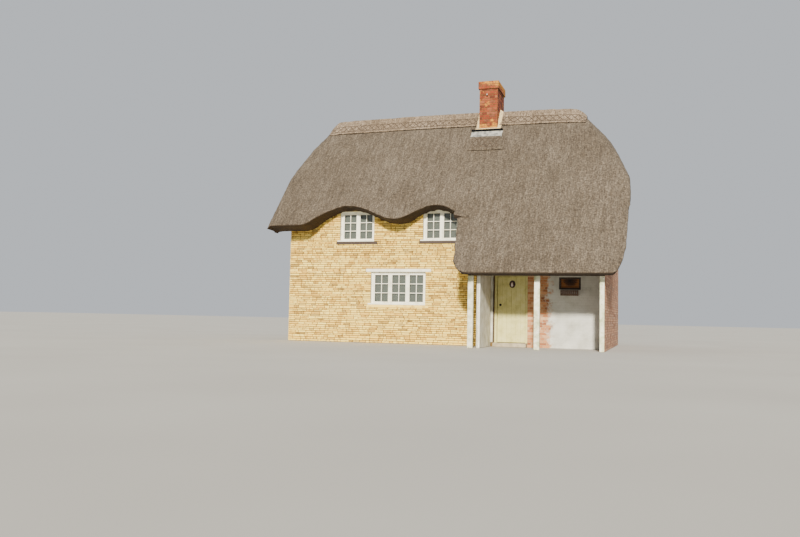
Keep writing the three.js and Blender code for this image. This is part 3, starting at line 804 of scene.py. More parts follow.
# Waxed elm: brown with a low gloss, each board in a shade of its own, 2.4 m long, with a dark gap of 3 mm
# beside it. The grain is drawn 22 mm wide to show.
elm_boards, elm_place = start_finish("waxed_elm_boards")
board_lines = add_node(
    elm_boards, "ShaderNodeTexBrick",
    {
        "Vector": elm_place, "Color1": linear("#8A6238"), "Color2": linear("#6E4B2A"),
        "Mortar": linear("#1E140C"), "Scale": 1.0, "Mortar Size": 0.003, "Brick Width": 2.4,
        "Row Height": 0.18,
    },
)
elm_stretch = add_node(
    elm_boards, "ShaderNodeMapping",
    {"Vector": elm_place, "Scale": (per_metre(500), per_metre(22), per_metre(22))},
)
elm_grain = add_node(
    elm_boards, "ShaderNodeTexNoise", {"Vector": elm_stretch.outputs[0], "Scale": 1.0, "Detail": 6.0}
)
elm_shade = add_node(
    elm_boards, "ShaderNodeValToRGB", {"Fac": elm_grain.outputs[0]},
    stops=[(0.3, "#9A8A7A"), (0.7, "#FFFFFF")],
)
elm_colour = add_node(
    elm_boards, "ShaderNodeMixRGB",
    {"Fac": 0.8, "Color1": board_lines.outputs[0], "Color2": elm_shade.outputs[0]},
    blend_type="MULTIPLY",
)
elm_bump = add_node(
    elm_boards, "ShaderNodeBump", {"Strength": 0.3, "Distance": 0.002, "Height": elm_grain.outputs[0]}
)
close_finish(elm_boards, Base_Color=elm_colour.outputs[0], Roughness=0.5, Normal=elm_bump.outputs[0])
for node in ("ground_floor", "upper_floor"):
    give_finishes(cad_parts[node].data, elm_boards)

# The doorway: a frame of 70 mm oak and a ledged leaf of six upright planks, all painted a pale yellow-green,
# over a worn stone step. The leaf has a round black iron knob on a rose and a small oval plaque at eye
# height.

# Oil paint on planed timber: a pale yellow-green with a low sheen, rubbed in patches 200 mm across. The grain
# shows through it, drawn 11 mm wide.
door_paint, door_place = start_finish("pale_green_door_paint")
door_wear = add_node(
    door_paint, "ShaderNodeTexNoise",
    {"Vector": door_place, "Scale": per_metre(200), "Detail": 7.0, "Roughness": 0.65},
)
door_colour = add_node(
    door_paint, "ShaderNodeValToRGB", {"Fac": door_wear.outputs[0]},
    stops=[(0.25, "#AFA763"), (0.5, "#D1CA82"), (0.8, "#DFD89E")],
)
door_stretch = add_node(
    door_paint, "ShaderNodeMapping",
    {"Vector": door_place, "Scale": (per_metre(11), per_metre(11), per_metre(200))},
)
door_grain = add_node(
    door_paint, "ShaderNodeTexNoise", {"Vector": door_stretch.outputs[0], "Scale": 1.0, "Detail": 4.0}
)
door_bump = add_node(
    door_paint, "ShaderNodeBump", {"Strength": 0.35, "Distance": 0.002, "Height": door_grain.outputs[0]}
)
close_finish(door_paint, Base_Color=door_colour.outputs[0], Roughness=0.5, Normal=door_bump.outputs[0])

# Forged iron, blacked: a dark metal whose sheen is broken by hammer marks 12.5 mm across.
black_iron, iron_place = start_finish("black_wrought_iron")
iron_hammer = add_node(
    black_iron, "ShaderNodeTexNoise", {"Vector": iron_place, "Scale": per_metre(12.5), "Detail": 4.0}
)
iron_colour = add_node(
    black_iron, "ShaderNodeValToRGB", {"Fac": iron_hammer.outputs[0]},
    stops=[(0.3, "#0E0D0D"), (0.8, "#2A2624")],
)
iron_bump = add_node(
    black_iron, "ShaderNodeBump", {"Strength": 0.5, "Distance": 0.002, "Height": iron_hammer.outputs[0]}
)
close_finish(
    black_iron, Base_Color=iron_colour.outputs[0], Roughness=0.45, Metallic=0.7, Normal=iron_bump.outputs[0]
)

for node, finish in (("door_frame", door_paint), ("door_leaf", door_paint), ("door_knob", black_iron)):
    give_finishes(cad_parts[node].data, finish)
leaf_low, leaf_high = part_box("door_leaf")
leaf_width = 0.844
plank_count = 6
plank_gap = 0.002
plank_margin = 0.003
plank_short = 0.004
plank_edge = 0.004
plank_width = (leaf_width - 2 * plank_margin) / plank_count
plank_face = leaf_low.y - 0.014
for k in range(plank_count):
    plank_left = leaf_low.x + plank_margin + k * plank_width
    make_board(
        f"door_plank_{k + 1}", (plank_left + plank_gap / 2, plank_face, leaf_low.z + plank_short),
        (plank_left + plank_width - plank_gap / 2, leaf_low.y - seat, leaf_high.z - plank_short), plank_edge,
        door_paint, "door",
    )

# Limestone worn by feet: smoother and greyer than the walls, in clouds 167 mm across.
step_stone, step_place = start_finish("worn_limestone_slab")
step_clouds = add_node(
    step_stone, "ShaderNodeTexNoise", {"Vector": step_place, "Scale": per_metre(167), "Detail": 8.0}
)
step_colour = add_node(
    step_stone, "ShaderNodeValToRGB", {"Fac": step_clouds.outputs[0]},
    stops=[(0.3, "#8C8068"), (0.7, "#B8AC90")],
)
step_bump = add_node(
    step_stone, "ShaderNodeBump", {"Strength": 0.5, "Distance": 0.006, "Height": step_clouds.outputs[0]}
)
close_finish(step_stone, Base_Color=step_colour.outputs[0], Roughness=0.8, Normal=step_bump.outputs[0])
low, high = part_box("door_step")
step = make_board("door_step_slab", low, high, 0.018, step_stone)
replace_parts(step, "door_step")

knob_low, knob_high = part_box("door_knob")
knob_middle = (knob_low + knob_high) / 2
rose_depth = 0.004
bpy.ops.mesh.primitive_cylinder_add(
    vertices=40, radius=0.037, depth=rose_depth, rotation=(math.pi / 2, 0, 0),
    location=(knob_middle.x, plank_face - rose_depth / 2, knob_middle.z),
)
rose = bpy.context.object
take_off_edges(rose, 0.0015)
finish_piece(rose, "door_knob_rose", black_iron, "door")

# Glazed earthenware: shiny and pale pink, burnt brown towards its rim in an edge mottled every 45 mm.
glazed_plaque, plaque_place = start_finish("pale_glazed_plaque")
plaque_crackle = add_node(
    glazed_plaque, "ShaderNodeTexNoise", {"Vector": plaque_place, "Scale": per_metre(45), "Detail": 5.0}
)
plaque_middle = Vector((leaf_low.x + 0.445, plank_face, 1.870))
palest_place = plaque_middle - Vector((0.01, 0, 0.02))
plaque_from_middle = add_node(
    glazed_plaque, "ShaderNodeVectorMath", {0: plaque_place, 1: palest_place}, operation="SUBTRACT"
)
plaque_across = add_node(
    glazed_plaque, "ShaderNodeVectorMath", {0: plaque_from_middle.outputs[0], 1: (16.0, 0.0, 7.0)},
    operation="MULTIPLY",
)
plaque_distance = add_node(
    glazed_plaque, "ShaderNodeVectorMath", {0: plaque_across.outputs[0]}, operation="LENGTH"
)
plaque_edge = add_node(
    glazed_plaque, "ShaderNodeMath",
    {0: plaque_crackle.outputs[0], 1: 0.6, 2: plaque_distance.outputs["Value"]},
    operation="MULTIPLY_ADD",
)
plaque_colour = add_node(
    glazed_plaque, "ShaderNodeValToRGB", {"Fac": plaque_edge.outputs[0]},
    stops=[(0.6, "#E0D2CC"), (0.8, "#9A7A6C"), (0.95, "#33201A")],
)
close_finish(glazed_plaque, Base_Color=plaque_colour.outputs[0], Roughness=0.35)
plaque_width = 0.185
plaque_height = 0.225
rim_radius = 0.013
rim_flatness = 0.7
plaque_depth = 0.008
bpy.ops.mesh.primitive_cylinder_add(
    vertices=48, radius=0.5, depth=plaque_depth, rotation=(math.pi / 2, 0, 0),
    location=plaque_middle - Vector((0, plaque_depth / 2 + seat, 0)),
)
plaque = bpy.context.object
plaque.scale = (plaque_width - rim_radius, plaque_height - rim_radius, 1)
finish_piece(plaque, "door_plaque", glazed_plaque, "door")
bpy.ops.mesh.primitive_torus_add(
    major_segments=48, minor_segments=12, major_radius=plaque_width / 2 - rim_radius, minor_radius=rim_radius,
    rotation=(math.pi / 2, 0, 0), location=plaque_middle - Vector((0, rim_radius * rim_flatness, 0)),
)
rim = bpy.context.object
rim.scale = (1, plaque_height / plaque_width, rim_flatness)
finish_piece(rim, "door_plaque_rim", dark_timber, "door")


# Thatch: combed wheat reed laid 400 mm and more thick, weathered to a grey-brown. It is uneven by a thumb's
# width, its arrises are soft, and its underside shows the cut ends of the straws, painted almost black as
# the shade under the eaves.
def down_the_roof(finish, place, wide, long):
    """A place for marks that wide and long in millimetres, along the straws of a main slope or of a hip."""
    across, along = per_metre(wide), per_metre(long)
    lean = add_node(
        finish, "ShaderNodeSeparateXYZ",
        {"Vector": add_node(finish, "ShaderNodeNewGeometry").outputs["True Normal"]},
    )
    sideways = add_node(finish, "ShaderNodeMath", {0: lean.outputs["X"]}, operation="ABSOLUTE")
    forwards = add_node(finish, "ShaderNodeMath", {0: lean.outputs["Y"]}, operation="ABSOLUTE")
    on_hip = add_node(
        finish, "ShaderNodeMath", {0: sideways.outputs[0], 1: forwards.outputs[0]}, operation="GREATER_THAN"
    )
    main = add_node(finish, "ShaderNodeMapping", {"Vector": place, "Scale": (across, along, along)})
    hip = add_node(finish, "ShaderNodeMapping", {"Vector": place, "Scale": (along, across, along)})
    return add_node(
        finish, "ShaderNodeMixRGB",
        {"Fac": on_hip.outputs[0], "Color1": main.outputs[0], "Color2": hip.outputs[0]},
    ).outputs[0]


def straw_finish(name, tones, shade):
    """Weathered straw in three tones, in tufts 50 mm across, with a shade over it in patches 1.4 m across.
    A straw is 4 mm thick, and its lines are drawn five times as wide to show. Rain has washed it in runs
    111 mm wide."""
    straw, place = start_finish(name)
    mottle = add_node(
        straw, "ShaderNodeTexNoise",
        {"Vector": place, "Scale": per_metre(50), "Detail": 8.0, "Roughness": 0.75},
    )
    colour = add_node(
        straw, "ShaderNodeValToRGB", {"Fac": mottle.outputs[0]},
        stops=[(0.36, tones[0]), (0.5, tones[1]), (0.64, tones[2])],
    )
    straws = add_node(
        straw, "ShaderNodeTexNoise",
        {"Vector": down_the_roof(straw, place, 20.8, 250), "Scale": 1.0, "Detail": 5.0, "Roughness": 0.65},
    )
    lines = add_node(
        straw, "ShaderNodeValToRGB", {"Fac": straws.outputs[0]}, stops=[(0.35, "#A39684"), (0.6, "#FFFFFF")]
    )
    streaked = add_node(
        straw, "ShaderNodeMixRGB", {"Fac": 0.8, "Color1": colour.outputs[0], "Color2": lines.outputs[0]},
        blend_type="MULTIPLY",
    )
    runs = add_node(
        straw, "ShaderNodeTexNoise",
        {"Vector": down_the_roof(straw, place, 111, 1110), "Scale": 1.0, "Detail": 4.0},
    )
    washed = add_node(
        straw, "ShaderNodeValToRGB", {"Fac": runs.outputs[0]}, stops=[(0.3, "#C6C0B8"), (0.6, "#FFFFFF")]
    )
    washed_straw = add_node(
        straw, "ShaderNodeMixRGB", {"Fac": 0.6, "Color1": streaked.outputs[0], "Color2": washed.outputs[0]},
        blend_type="MULTIPLY",
    )
    patches = add_node(
        straw, "ShaderNodeTexNoise", {"Vector": place, "Scale": per_metre(1430), "Detail": 3.0}
    )
    shading = add_node(
        straw, "ShaderNodeValToRGB", {"Fac": patches.outputs[0]}, stops=[(0.35, shade), (0.6, "#FFFFFF")]
    )
    weathered = add_node(
        straw, "ShaderNodeMixRGB",
        {"Fac": 0.5, "Color1": washed_straw.outputs[0], "Color2": shading.outputs[0]},
        blend_type="MULTIPLY",
    )
    lumps = add_node(
        straw, "ShaderNodeBump", {"Strength": 0.5, "Distance": 0.02, "Height": mottle.outputs[0]}
    )
    fibres = add_node(
        straw, "ShaderNodeBump",
        {"Strength": 0.8, "Distance": 0.012, "Height": straws.outputs[0], "Normal": lumps.outputs[0]},
    )
    return close_finish(straw, Base_Color=weathered.outputs[0], Roughness=1.0, Normal=fibres.outputs[0])


# Weathered wheat reed: grey-brown and without any gloss, streaked down the slope.
weathered_straw = straw_finish("weathered_wheat_reed", ("#413930", "#635A4E", "#887C6C"), "#D2CCC2")

# The cut ends of the reed: dark dots, almost black between them, painted darker than they are as the shade
# on the underside of the thatch. They are drawn 11 mm across to show.
reed_butts_painted_shade, butts_place = start_finish("cut_ends_of_wheat_reed_in_painted_shade")
butt_dots = add_node(reed_butts_painted_shade, "ShaderNodeTexVoronoi", {"Vector": butts_place, "Scale": per_metre(11)})
butt_shade_colour = add_node(
    reed_butts_painted_shade, "ShaderNodeValToRGB", {"Fac": butt_dots.outputs["Distance"]},
    stops=[(0.1, "#54432F"), (0.5, "#33271B"), (0.8, "#18110B")],
)
butt_bump = add_node(
    reed_butts_painted_shade, "ShaderNodeBump", {"Strength": 0.9, "Distance": 0.01, "Height": butt_dots.outputs["Distance"]}
)
close_finish(reed_butts_painted_shade, Base_Color=butt_shade_colour.outputs[0], Roughness=1.0, Normal=butt_bump.outputs[0])

lumps_of_straw = bpy.data.textures.new("lumps_of_straw", "CLOUDS")
lumps_of_straw.noise_scale = 0.16
lumps_of_straw.noise_depth = 3


def dress_thatch(nodes, name, look, grain, unevenness):
    """Thatch made from its solids of the build, joined where they meet under the ridge: its grid is rounded
    off between its arrises, then evenly remeshed, softened and sunk unevenly."""
    bpy.ops.object.select_all(action="DESELECT")
    for node in nodes:
        copy = bpy.data.objects.new(name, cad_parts[node].data.copy())
        bpy.context.collection.objects.link(copy)
        copy.select_set(True)
        bpy.context.view_layer.objects.active = copy
    if len(nodes) > 1:
        bpy.ops.object.join()
    piece = bpy.context.object
    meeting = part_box(nodes[0])[1].y
    bpy.ops.object.mode_set(mode="EDIT")
    bpy.ops.mesh.select_all(action="SELECT")
    bpy.ops.mesh.remove_doubles(threshold=0.001)
    bpy.ops.mesh.select_mode(type="FACE")
    bpy.ops.mesh.select_all(action="DESELECT")
    bpy.ops.object.mode_set(mode="OBJECT")
    if len(nodes) > 1:
        for face in piece.data.polygons:
            face.select = all(abs(piece.data.vertices[k].co.y - meeting) < 0.002 for k in face.vertices)
        bpy.ops.object.mode_set(mode="EDIT")
        bpy.ops.mesh.delete(type="FACE")
        bpy.ops.object.mode_set(mode="OBJECT")
    bpy.ops.object.mode_set(mode="EDIT")
    bpy.ops.mesh.select_all(action="SELECT")
    bpy.ops.mesh.tris_convert_to_quads(face_threshold=math.radians(50), shape_threshold=math.radians(60))
    bpy.ops.mesh.select_mode(type="EDGE")
    bpy.ops.mesh.select_all(action="DESELECT")
    bpy.ops.mesh.edges_select_sharp(sharpness=math.radians(38))
    bpy.ops.transform.edge_crease(value=1.0)
    bpy.ops.object.mode_set(mode="OBJECT")
    piece.modifiers.new("rounded_between_arrises", "SUBSURF").levels = 2
    even = piece.modifiers.new("even_grain", "REMESH")
    even.mode = "VOXEL"
    even.voxel_size = grain
    soft = piece.modifiers.new("soft_arrises", "SMOOTH")
    soft.factor = 0.5
    soft.iterations = 3
    uneven = piece.modifiers.new("uneven_straw", "DISPLACE")
    uneven.texture = lumps_of_straw
    uneven.texture_coords = "LOCAL"
    uneven.mid_level = 1.0
    uneven.strength = unevenness
    apply_modifiers(piece)
    bpy.ops.object.shade_smooth()
    finish_piece(piece, name, look)
    piece.data.materials.append(reed_butts_painted_shade)
    # Faces that look down get the cut ends, painted dark as the shade under the thatch.
    for face in piece.data.polygons:
        face.material_index = 1 if face.normal.z < -0.15 else 0
    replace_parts(piece, *nodes)
    return piece


roof = dress_thatch(
    ["thatch_front", "thatch_back"], "thatched_roof", weathered_straw, grain=0.062,
    unevenness=0.030,
)

# Ridge: a cap of pale sedge wrapped over the top on both sides of the chimney, and a thick pad of the roof's
# own reed below it. Each is cut straight at its foot and held down by split hazel rods, which are pegged into
# it: two along it, with crossed ones between them.

# Sedge: as dull as the reed, but newer and paler.
ridge_sedge = straw_finish("weathered_ridge_sedge", ("#53483C", "#867765", "#B2A28E"), "#DDD5C8")
left_ridge = dress_thatch(
    ["ridge_cap_left"], "left_ridge_sedge", ridge_sedge, grain=0.026, unevenness=0.020
)
right_ridge = dress_thatch(
    ["ridge_cap_right"], "right_ridge_sedge", ridge_sedge, grain=0.026, unevenness=0.020
)
pad = dress_thatch(
    ["chimney_thatch_pad"], "sedge_pad", weathered_straw, grain=0.020, unevenness=0.018
)
bpy.context.view_layer.update()

# Split hazel after a winter: dull, dark grey-brown, mottled every 40 mm.
hazel, hazel_place = start_finish("split_hazel_rods")
hazel_grain = add_node(
    hazel, "ShaderNodeTexNoise", {"Vector": hazel_place, "Scale": per_metre(40), "Detail": 5.0}
)
hazel_colour = add_node(
    hazel, "ShaderNodeValToRGB", {"Fac": hazel_grain.outputs[0]}, stops=[(0.3, "#2A221B"), (0.7, "#5A4B3B")]
)
close_finish(hazel, Base_Color=hazel_colour.outputs[0], Roughness=0.9)
rod_radius = 0.015
rod_sunk = 0.006


def top_of(pieces, x, y):
    """The height of the uppermost of some pieces at a place in plan, or None beside them."""
    above = Vector((x, y, 20))
    hits = [piece.ray_cast(above, Vector((0, 0, -1))) for piece in pieces]
    return max((hit[1].z for hit in hits if hit[0]), default=None)


def lay_rods(name, thatch, routes):
    """Rods laid over thatch. Each route is a list of places in plan, and a rod touches the thatch below
    each one."""
    points = []
    edges = []
    for route in routes:
        first = len(points)
        for x, y in route:
            height = top_of([thatch], x, y)
            if height is not None:
                points.append((x, y, height - rod_sunk))
        edges += [(k, k + 1) for k in range(first, len(points) - 1)]
    add_mesh(name, points, edges, [])
    bpy.ops.object.convert(target="CURVE")
    rods = bpy.context.object
    rods.data.bevel_depth = rod_radius
    rods.data.bevel_resolution = 1
    rods.data.use_fill_caps = True
    bpy.ops.object.convert(target="MESH")
    return finish_piece(bpy.context.object, name, hazel)


def rod_routes(left, right, top, foot, rows, crosses):
    """Two rods along a band, and crossed ones between them. Rows are the two's shares of the way down."""
    upper, lower = [top + (foot - top) * row for row in rows]
    steps = 24
    routes = [[(left + (right - left) * k / steps, y) for k in range(steps + 1)] for y in (upper, lower)]
    width = (right - left) / crosses
    for k in range(crosses):
        begin, end = left + k * width, left + (k + 1) * width
        crossing = ((begin + end) / 2, (upper + lower) / 2)
        routes.append([(begin, upper), crossing, (end, lower)])
        routes.append([(end, upper), crossing, (begin, lower)])
    return routes


cross_width = 0.24
rod_margin = 0.05
for side, ridge in (("left", left_ridge), ("right", right_ridge)):
    low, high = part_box(f"ridge_cap_{side}")
    middle = (low.y + high.y) / 2
    crosses = round((high.x - low.x) / cross_width)
    routes = []
    for foot in (low.y, high.y):
        routes += rod_routes(low.x + rod_margin, high.x - rod_margin, middle, foot, (0.45, 0.86), crosses)
    lay_rods(f"{side}_ridge_rods", ridge, routes)
low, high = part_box("chimney_thatch_pad")
pad_left, pad_right = low.x + 0.06, high.x - 0.16
lay_rods("pad_rods", pad, rod_routes(pad_left, pad_right, high.y, low.y, (0.2, 0.85), 5))

# Chimney: the same handmade brick laid all in stretchers, with an oversailing cap. Orange lichen grows on its
# top and its foot. Where it leaves the roof it has fillets of cream mortar, a ledge of slate painted black as
# a shadow line, and an apron of lead, and on its front an old porcelain insulator on an iron pin.

# The same brick, redder, with soot in patches 111 mm across. Orange-yellow lichen grows on it in spots 200 mm
# across, most of all near its top, from 8.15 m up, and near its foot, below 7.45 m.
lichened_brick, lichened_place = start_finish("lichened_chimney_brick")
lichened_tone = add_node(
    lichened_brick, "ShaderNodeValToRGB",
    {"Fac": add_node(lichened_brick, "ShaderNodeNewGeometry").outputs["Random Per Island"]},
    stops=[(0.0, "#5C2816"), (0.3, "#7E3319"), (0.6, "#8C3F22"), (0.85, "#935234"), (1.0, "#683829")],
)
brick_soot = add_node(
    lichened_brick, "ShaderNodeTexNoise", {"Vector": lichened_place, "Scale": per_metre(111), "Detail": 6.0}
)
soot_shade = add_node(
    lichened_brick, "ShaderNodeValToRGB", {"Fac": brick_soot.outputs[0]},
    stops=[(0.3, "#8C7868"), (0.55, "#FFFFFF")],
)
sooty_brick = add_node(
    lichened_brick, "ShaderNodeMixRGB",
    {"Fac": 0.6, "Color1": lichened_tone.outputs[0], "Color2": soot_shade.outputs[0]},
    blend_type="MULTIPLY",
)
lichen_height = add_node(lichened_brick, "ShaderNodeSeparateXYZ", {"Vector": lichened_place})
lichen_top = add_node(
    lichened_brick, "ShaderNodeMapRange",
    {"Value": lichen_height.outputs["Z"], "From Min": 8.15, "From Max": 8.70},
)
lichen_foot = add_node(
    lichened_brick, "ShaderNodeMapRange",
    {"Value": lichen_height.outputs["Z"], "From Min": 7.45, "From Max": 7.10},
)
lichen_ends = add_node(
    lichened_brick, "ShaderNodeMath", {0: lichen_top.outputs[0], 1: lichen_foot.outputs[0]},
    operation="MAXIMUM",
)
lichen_spots = add_node(
    lichened_brick, "ShaderNodeTexNoise", {"Vector": lichened_place, "Scale": per_metre(200), "Detail": 7.0}
)
lichen_growth = add_node(
    lichened_brick, "ShaderNodeMath", {0: lichen_ends.outputs[0], 1: 0.18, 2: lichen_spots.outputs[0]},
    operation="MULTIPLY_ADD",
)
lichen_cover = add_node(
    lichened_brick, "ShaderNodeMapRange",
    {"Value": lichen_growth.outputs[0], "From Min": 0.62, "From Max": 0.72},
)
lichened_colour = add_node(
    lichened_brick, "ShaderNodeMixRGB",
    {"Fac": lichen_cover.outputs[0], "Color1": sooty_brick.outputs[0], "Color2": linear("#B87C2A")},
)
lichened_bump = add_node(
    lichened_brick, "ShaderNodeBump", {"Strength": 0.35, "Distance": 0.005, "Height": lichen_spots.outputs[0]}
)
close_finish(
    lichened_brick, Base_Color=lichened_colour.outputs[0], Roughness=0.92, Normal=lichened_bump.outputs[0]
)

# New lime mortar: cream and dull, with the trowel's lumps, 40 mm across.
cream_mortar, cream_place = start_finish("cream_lime_mortar")
cream_grains = add_node(
    cream_mortar, "ShaderNodeTexNoise", {"Vector": cream_place, "Scale": per_metre(40), "Detail": 7.0}
)
cream_colour = add_node(
    cream_mortar, "ShaderNodeValToRGB", {"Fac": cream_grains.outputs[0]},
    stops=[(0.3, "#A38E68"), (0.6, "#CDB98F"), (0.8, "#D9C8A4")],
)
cream_bump = add_node(
    cream_mortar, "ShaderNodeBump", {"Strength": 0.7, "Distance": 0.006, "Height": cream_grains.outputs[0]}
)
close_finish(cream_mortar, Base_Color=cream_colour.outputs[0], Roughness=0.95, Normal=cream_bump.outputs[0])

# Sheet lead out in the rain: pale grey with a low metal sheen, dressed by hand and stained every 125 mm.
roof_lead, lead_place = start_finish("weathered_sheet_lead")
lead_stains = add_node(
    roof_lead, "ShaderNodeTexNoise", {"Vector": lead_place, "Scale": per_metre(125), "Detail": 7.0}
)
lead_colour = add_node(
    roof_lead, "ShaderNodeValToRGB", {"Fac": lead_stains.outputs[0]},
    stops=[(0.35, "#6E706C"), (0.5, "#A5A59E"), (0.65, "#BDBBB2")],
)
lead_bump = add_node(
    roof_lead, "ShaderNodeBump", {"Strength": 0.6, "Distance": 0.008, "Height": lead_stains.outputs[0]}
)
close_finish(
    roof_lead, Base_Color=lead_colour.outputs[0], Roughness=0.55, Metallic=0.3, Normal=lead_bump.outputs[0]
)

# Riven slate, damp, its layers 33 mm across: painted almost black, with hardly any gloss, as the shadow line
# at the foot of the stack's front.
slate_painted_as_shadow, slate_place = start_finish("slate_painted_as_shadow")
slate_layers = add_node(
    slate_painted_as_shadow, "ShaderNodeTexNoise", {"Vector": slate_place, "Scale": per_metre(33), "Detail": 6.0}
)
slate_shadow_colour = add_node(
    slate_painted_as_shadow, "ShaderNodeValToRGB", {"Fac": slate_layers.outputs[0]},
    stops=[(0.3, "#040405"), (0.7, "#0E0F11")],
)
slate_bump = add_node(
    slate_painted_as_shadow, "ShaderNodeBump", {"Strength": 0.6, "Distance": 0.003, "Height": slate_layers.outputs[0]}
)
close_finish(
    slate_painted_as_shadow, Base_Color=slate_shadow_colour.outputs[0], Roughness=0.9, Specular_IOR_Level=0.1,
    Normal=slate_bump.outputs[0],
)


def stretcher_lengths(total, course, draw):
    """The lengths of the bricks of a narrow course, begun with a half brick in every second course."""
    count = max(1, round(total / brick_length))
    length = total / (count + 0.5) if count > 1 else total
    lengths = [length] * count
    lengths.insert(0 if course % 2 else count, total - length * count)
    return [length for length in lengths if length > 0.01]


# Soot: black without any gloss, in a crust 33 mm across.
flue_soot, soot_place = start_finish("soot_in_the_flues")
soot_crust = add_node(
    flue_soot, "ShaderNodeTexNoise", {"Vector": soot_place, "Scale": per_metre(33), "Detail": 5.0}
)
soot_colour = add_node(
    flue_soot, "ShaderNodeValToRGB", {"Fac": soot_crust.outputs[0]},
    stops=[(0.3, "#0C0B0A"), (0.7, "#26221E")],
)
close_finish(flue_soot, Base_Color=soot_colour.outputs[0], Roughness=1.0)
for node in ("chimney_stack", "chimney_cap"):
    low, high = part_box(node)
    mesh = give_finishes(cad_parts[node].data, lime_mortar_with_painted_shade, flue_soot)
    for face in mesh.polygons:
        middle = face.center
        inside = min(middle.x - low.x, high.x - middle.x, middle.y - low.y, high.y - middle.y)
        face.material_index = 1 if abs(face.normal.z) < 0.1 and inside > 0.05 else 0
stack_low, stack_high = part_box("chimney_stack")

# The stack is laid from just under the thatch, which hides all that lies below 6.82 m.
under_roof = (-20, 20, 0, 6.82)
chimney_brick_size = {"course": 0.077, "joint": 0.014, "proud": 0.005, "arris": 0.003, "wobble": 0.002}
for side, turn in (
    ("front", facing_front), ("right", facing_right), ("back", facing_back), ("left", facing_left)
):
    lay_wall(
        f"chimney_stack_bricks_{side}", ["chimney_stack"], turn, [under_roof], stretcher_lengths,
        chimney_brick_size, lichened_brick, seed=41,
    )
    lay_wall(
        f"chimney_cap_bricks_{side}", ["chimney_cap"], turn, [], stretcher_lengths,
        chimney_brick_size, lichened_brick, seed=42,
    )

give_finishes(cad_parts["chimney_lead_apron"].data, roof_lead)
lead_low, lead_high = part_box("chimney_lead_apron")
ledge_foot = lead_high.z + 0.010
ledge_top = ledge_foot + 0.062
# A ledge over the apron, in slate painted black as the shadow line there.
make_board(
    "chimney_slate_ledge_painted_shadow", (lead_low.x - 0.01, lead_high.y - 0.02, ledge_foot),
    (lead_high.x - 0.01, stack_low.y - hairline, ledge_top), 0.004, slate_painted_as_shadow,
)

# Glazed porcelain gone grimy: still shiny, and grey with paler patches 25 mm across.
grimy_porcelain, porcelain_place = start_finish("grimy_porcelain")
porcelain_grime = add_node(
    grimy_porcelain, "ShaderNodeTexNoise", {"Vector": porcelain_place, "Scale": per_metre(25), "Detail": 4.0}
)
porcelain_colour = add_node(
    grimy_porcelain, "ShaderNodeValToRGB", {"Fac": porcelain_grime.outputs[0]},
    stops=[(0.35, "#6F665C"), (0.6, "#B5ACA0")],
)
close_finish(grimy_porcelain, Base_Color=porcelain_colour.outputs[0], Roughness=0.2)
insulator_place = Vector((stack_low.x + 0.262, stack_low.y, 8.255))
insulator_reach = 0.075
bpy.ops.mesh.primitive_cylinder_add(
    vertices=20, radius=0.009, depth=insulator_reach, rotation=(math.pi / 2, 0, 0),
    location=insulator_place - Vector((0, insulator_reach / 2, 0)),
)
finish_piece(bpy.context.object, "chimney_insulator_pin", black_iron)
bpy.ops.mesh.primitive_uv_sphere_add(
    segments=28, ring_count=16, radius=0.028, location=insulator_place - Vector((0, insulator_reach, 0))
)
bpy.context.object.scale = (1, 0.8, 1.15)
bpy.ops.object.shade_smooth()
finish_piece(bpy.context.object, "chimney_insulator", grimy_porcelain)


def loft(name, sections, look):
    """A closed solid through sections of the same number of corners."""
    count = len(sections[0])
    points = [corner for section in sections for corner in section]
    faces = [tuple(range(count)), tuple(range(len(points) - count, len(points)))]
    for first in range(0, len(points) - count, count):
        for corner in range(count):
            beside = (corner + 1) % count
            faces.append((first + corner, first + beside, first + count + beside, first + count + corner))
    piece = add_mesh(name, points, [], faces)
    bpy.ops.object.mode_set(mode="EDIT")
    bpy.ops.mesh.select_all(action="SELECT")
    bpy.ops.mesh.normals_make_consistent(inside=False)
    bpy.ops.object.mode_set(mode="OBJECT")
    return finish_piece(piece, name, look)


# The fillets follow the thatch, measured a little way off the bricks, and their feet are sunk into it.
fillet_width = 0.12
fillet_height = 0.085
fillet_past_corner = 0.03
fillet_sunk = 0.03
beside_stack = 0.03
fillet_rows = 24
for side, face, outwards in (("left", stack_low.x, -1), ("right", stack_high.x, 1)):
    sections = []
    for k in range(fillet_rows + 1):
        share = k / fillet_rows
        y = stack_low.y - fillet_past_corner + (stack_high.y - stack_low.y + 2 * fillet_past_corner) * share
        height = top_of([roof, left_ridge, right_ridge], face + outwards * beside_stack, y)
        sections.append([
            (face, y, height - 0.05),
            (face + outwards * fillet_width, y, height - fillet_sunk),
            (face + outwards * fillet_width * 0.9, y, height + 0.012),
            (face + outwards * 0.012, y, height + fillet_height),
            (face, y, height + fillet_height),
        ])
    loft(f"chimney_fillet_{side}", sections, cream_mortar)

cross_fillet_width = 0.05
cross_fillet_height = 0.055
for side, face, outwards in (("front", stack_low.y, -1), ("back", stack_high.y, 1)):
    sections = []
    for x in (stack_low.x - fillet_width, stack_high.x + fillet_width):
        height = max(top_of([roof], x, face + outwards * beside_stack), ledge_top if side == "front" else 0)
        sections.append([
            (x, face, height - fillet_sunk),
            (x, face + outwards * cross_fillet_width, height - fillet_sunk),
            (x, face + outwards * (cross_fillet_width - 0.005), height + 0.015),
            (x, face, height + cross_fillet_height),
        ])
    loft(f"chimney_fillet_{side}", sections, cream_mortar)

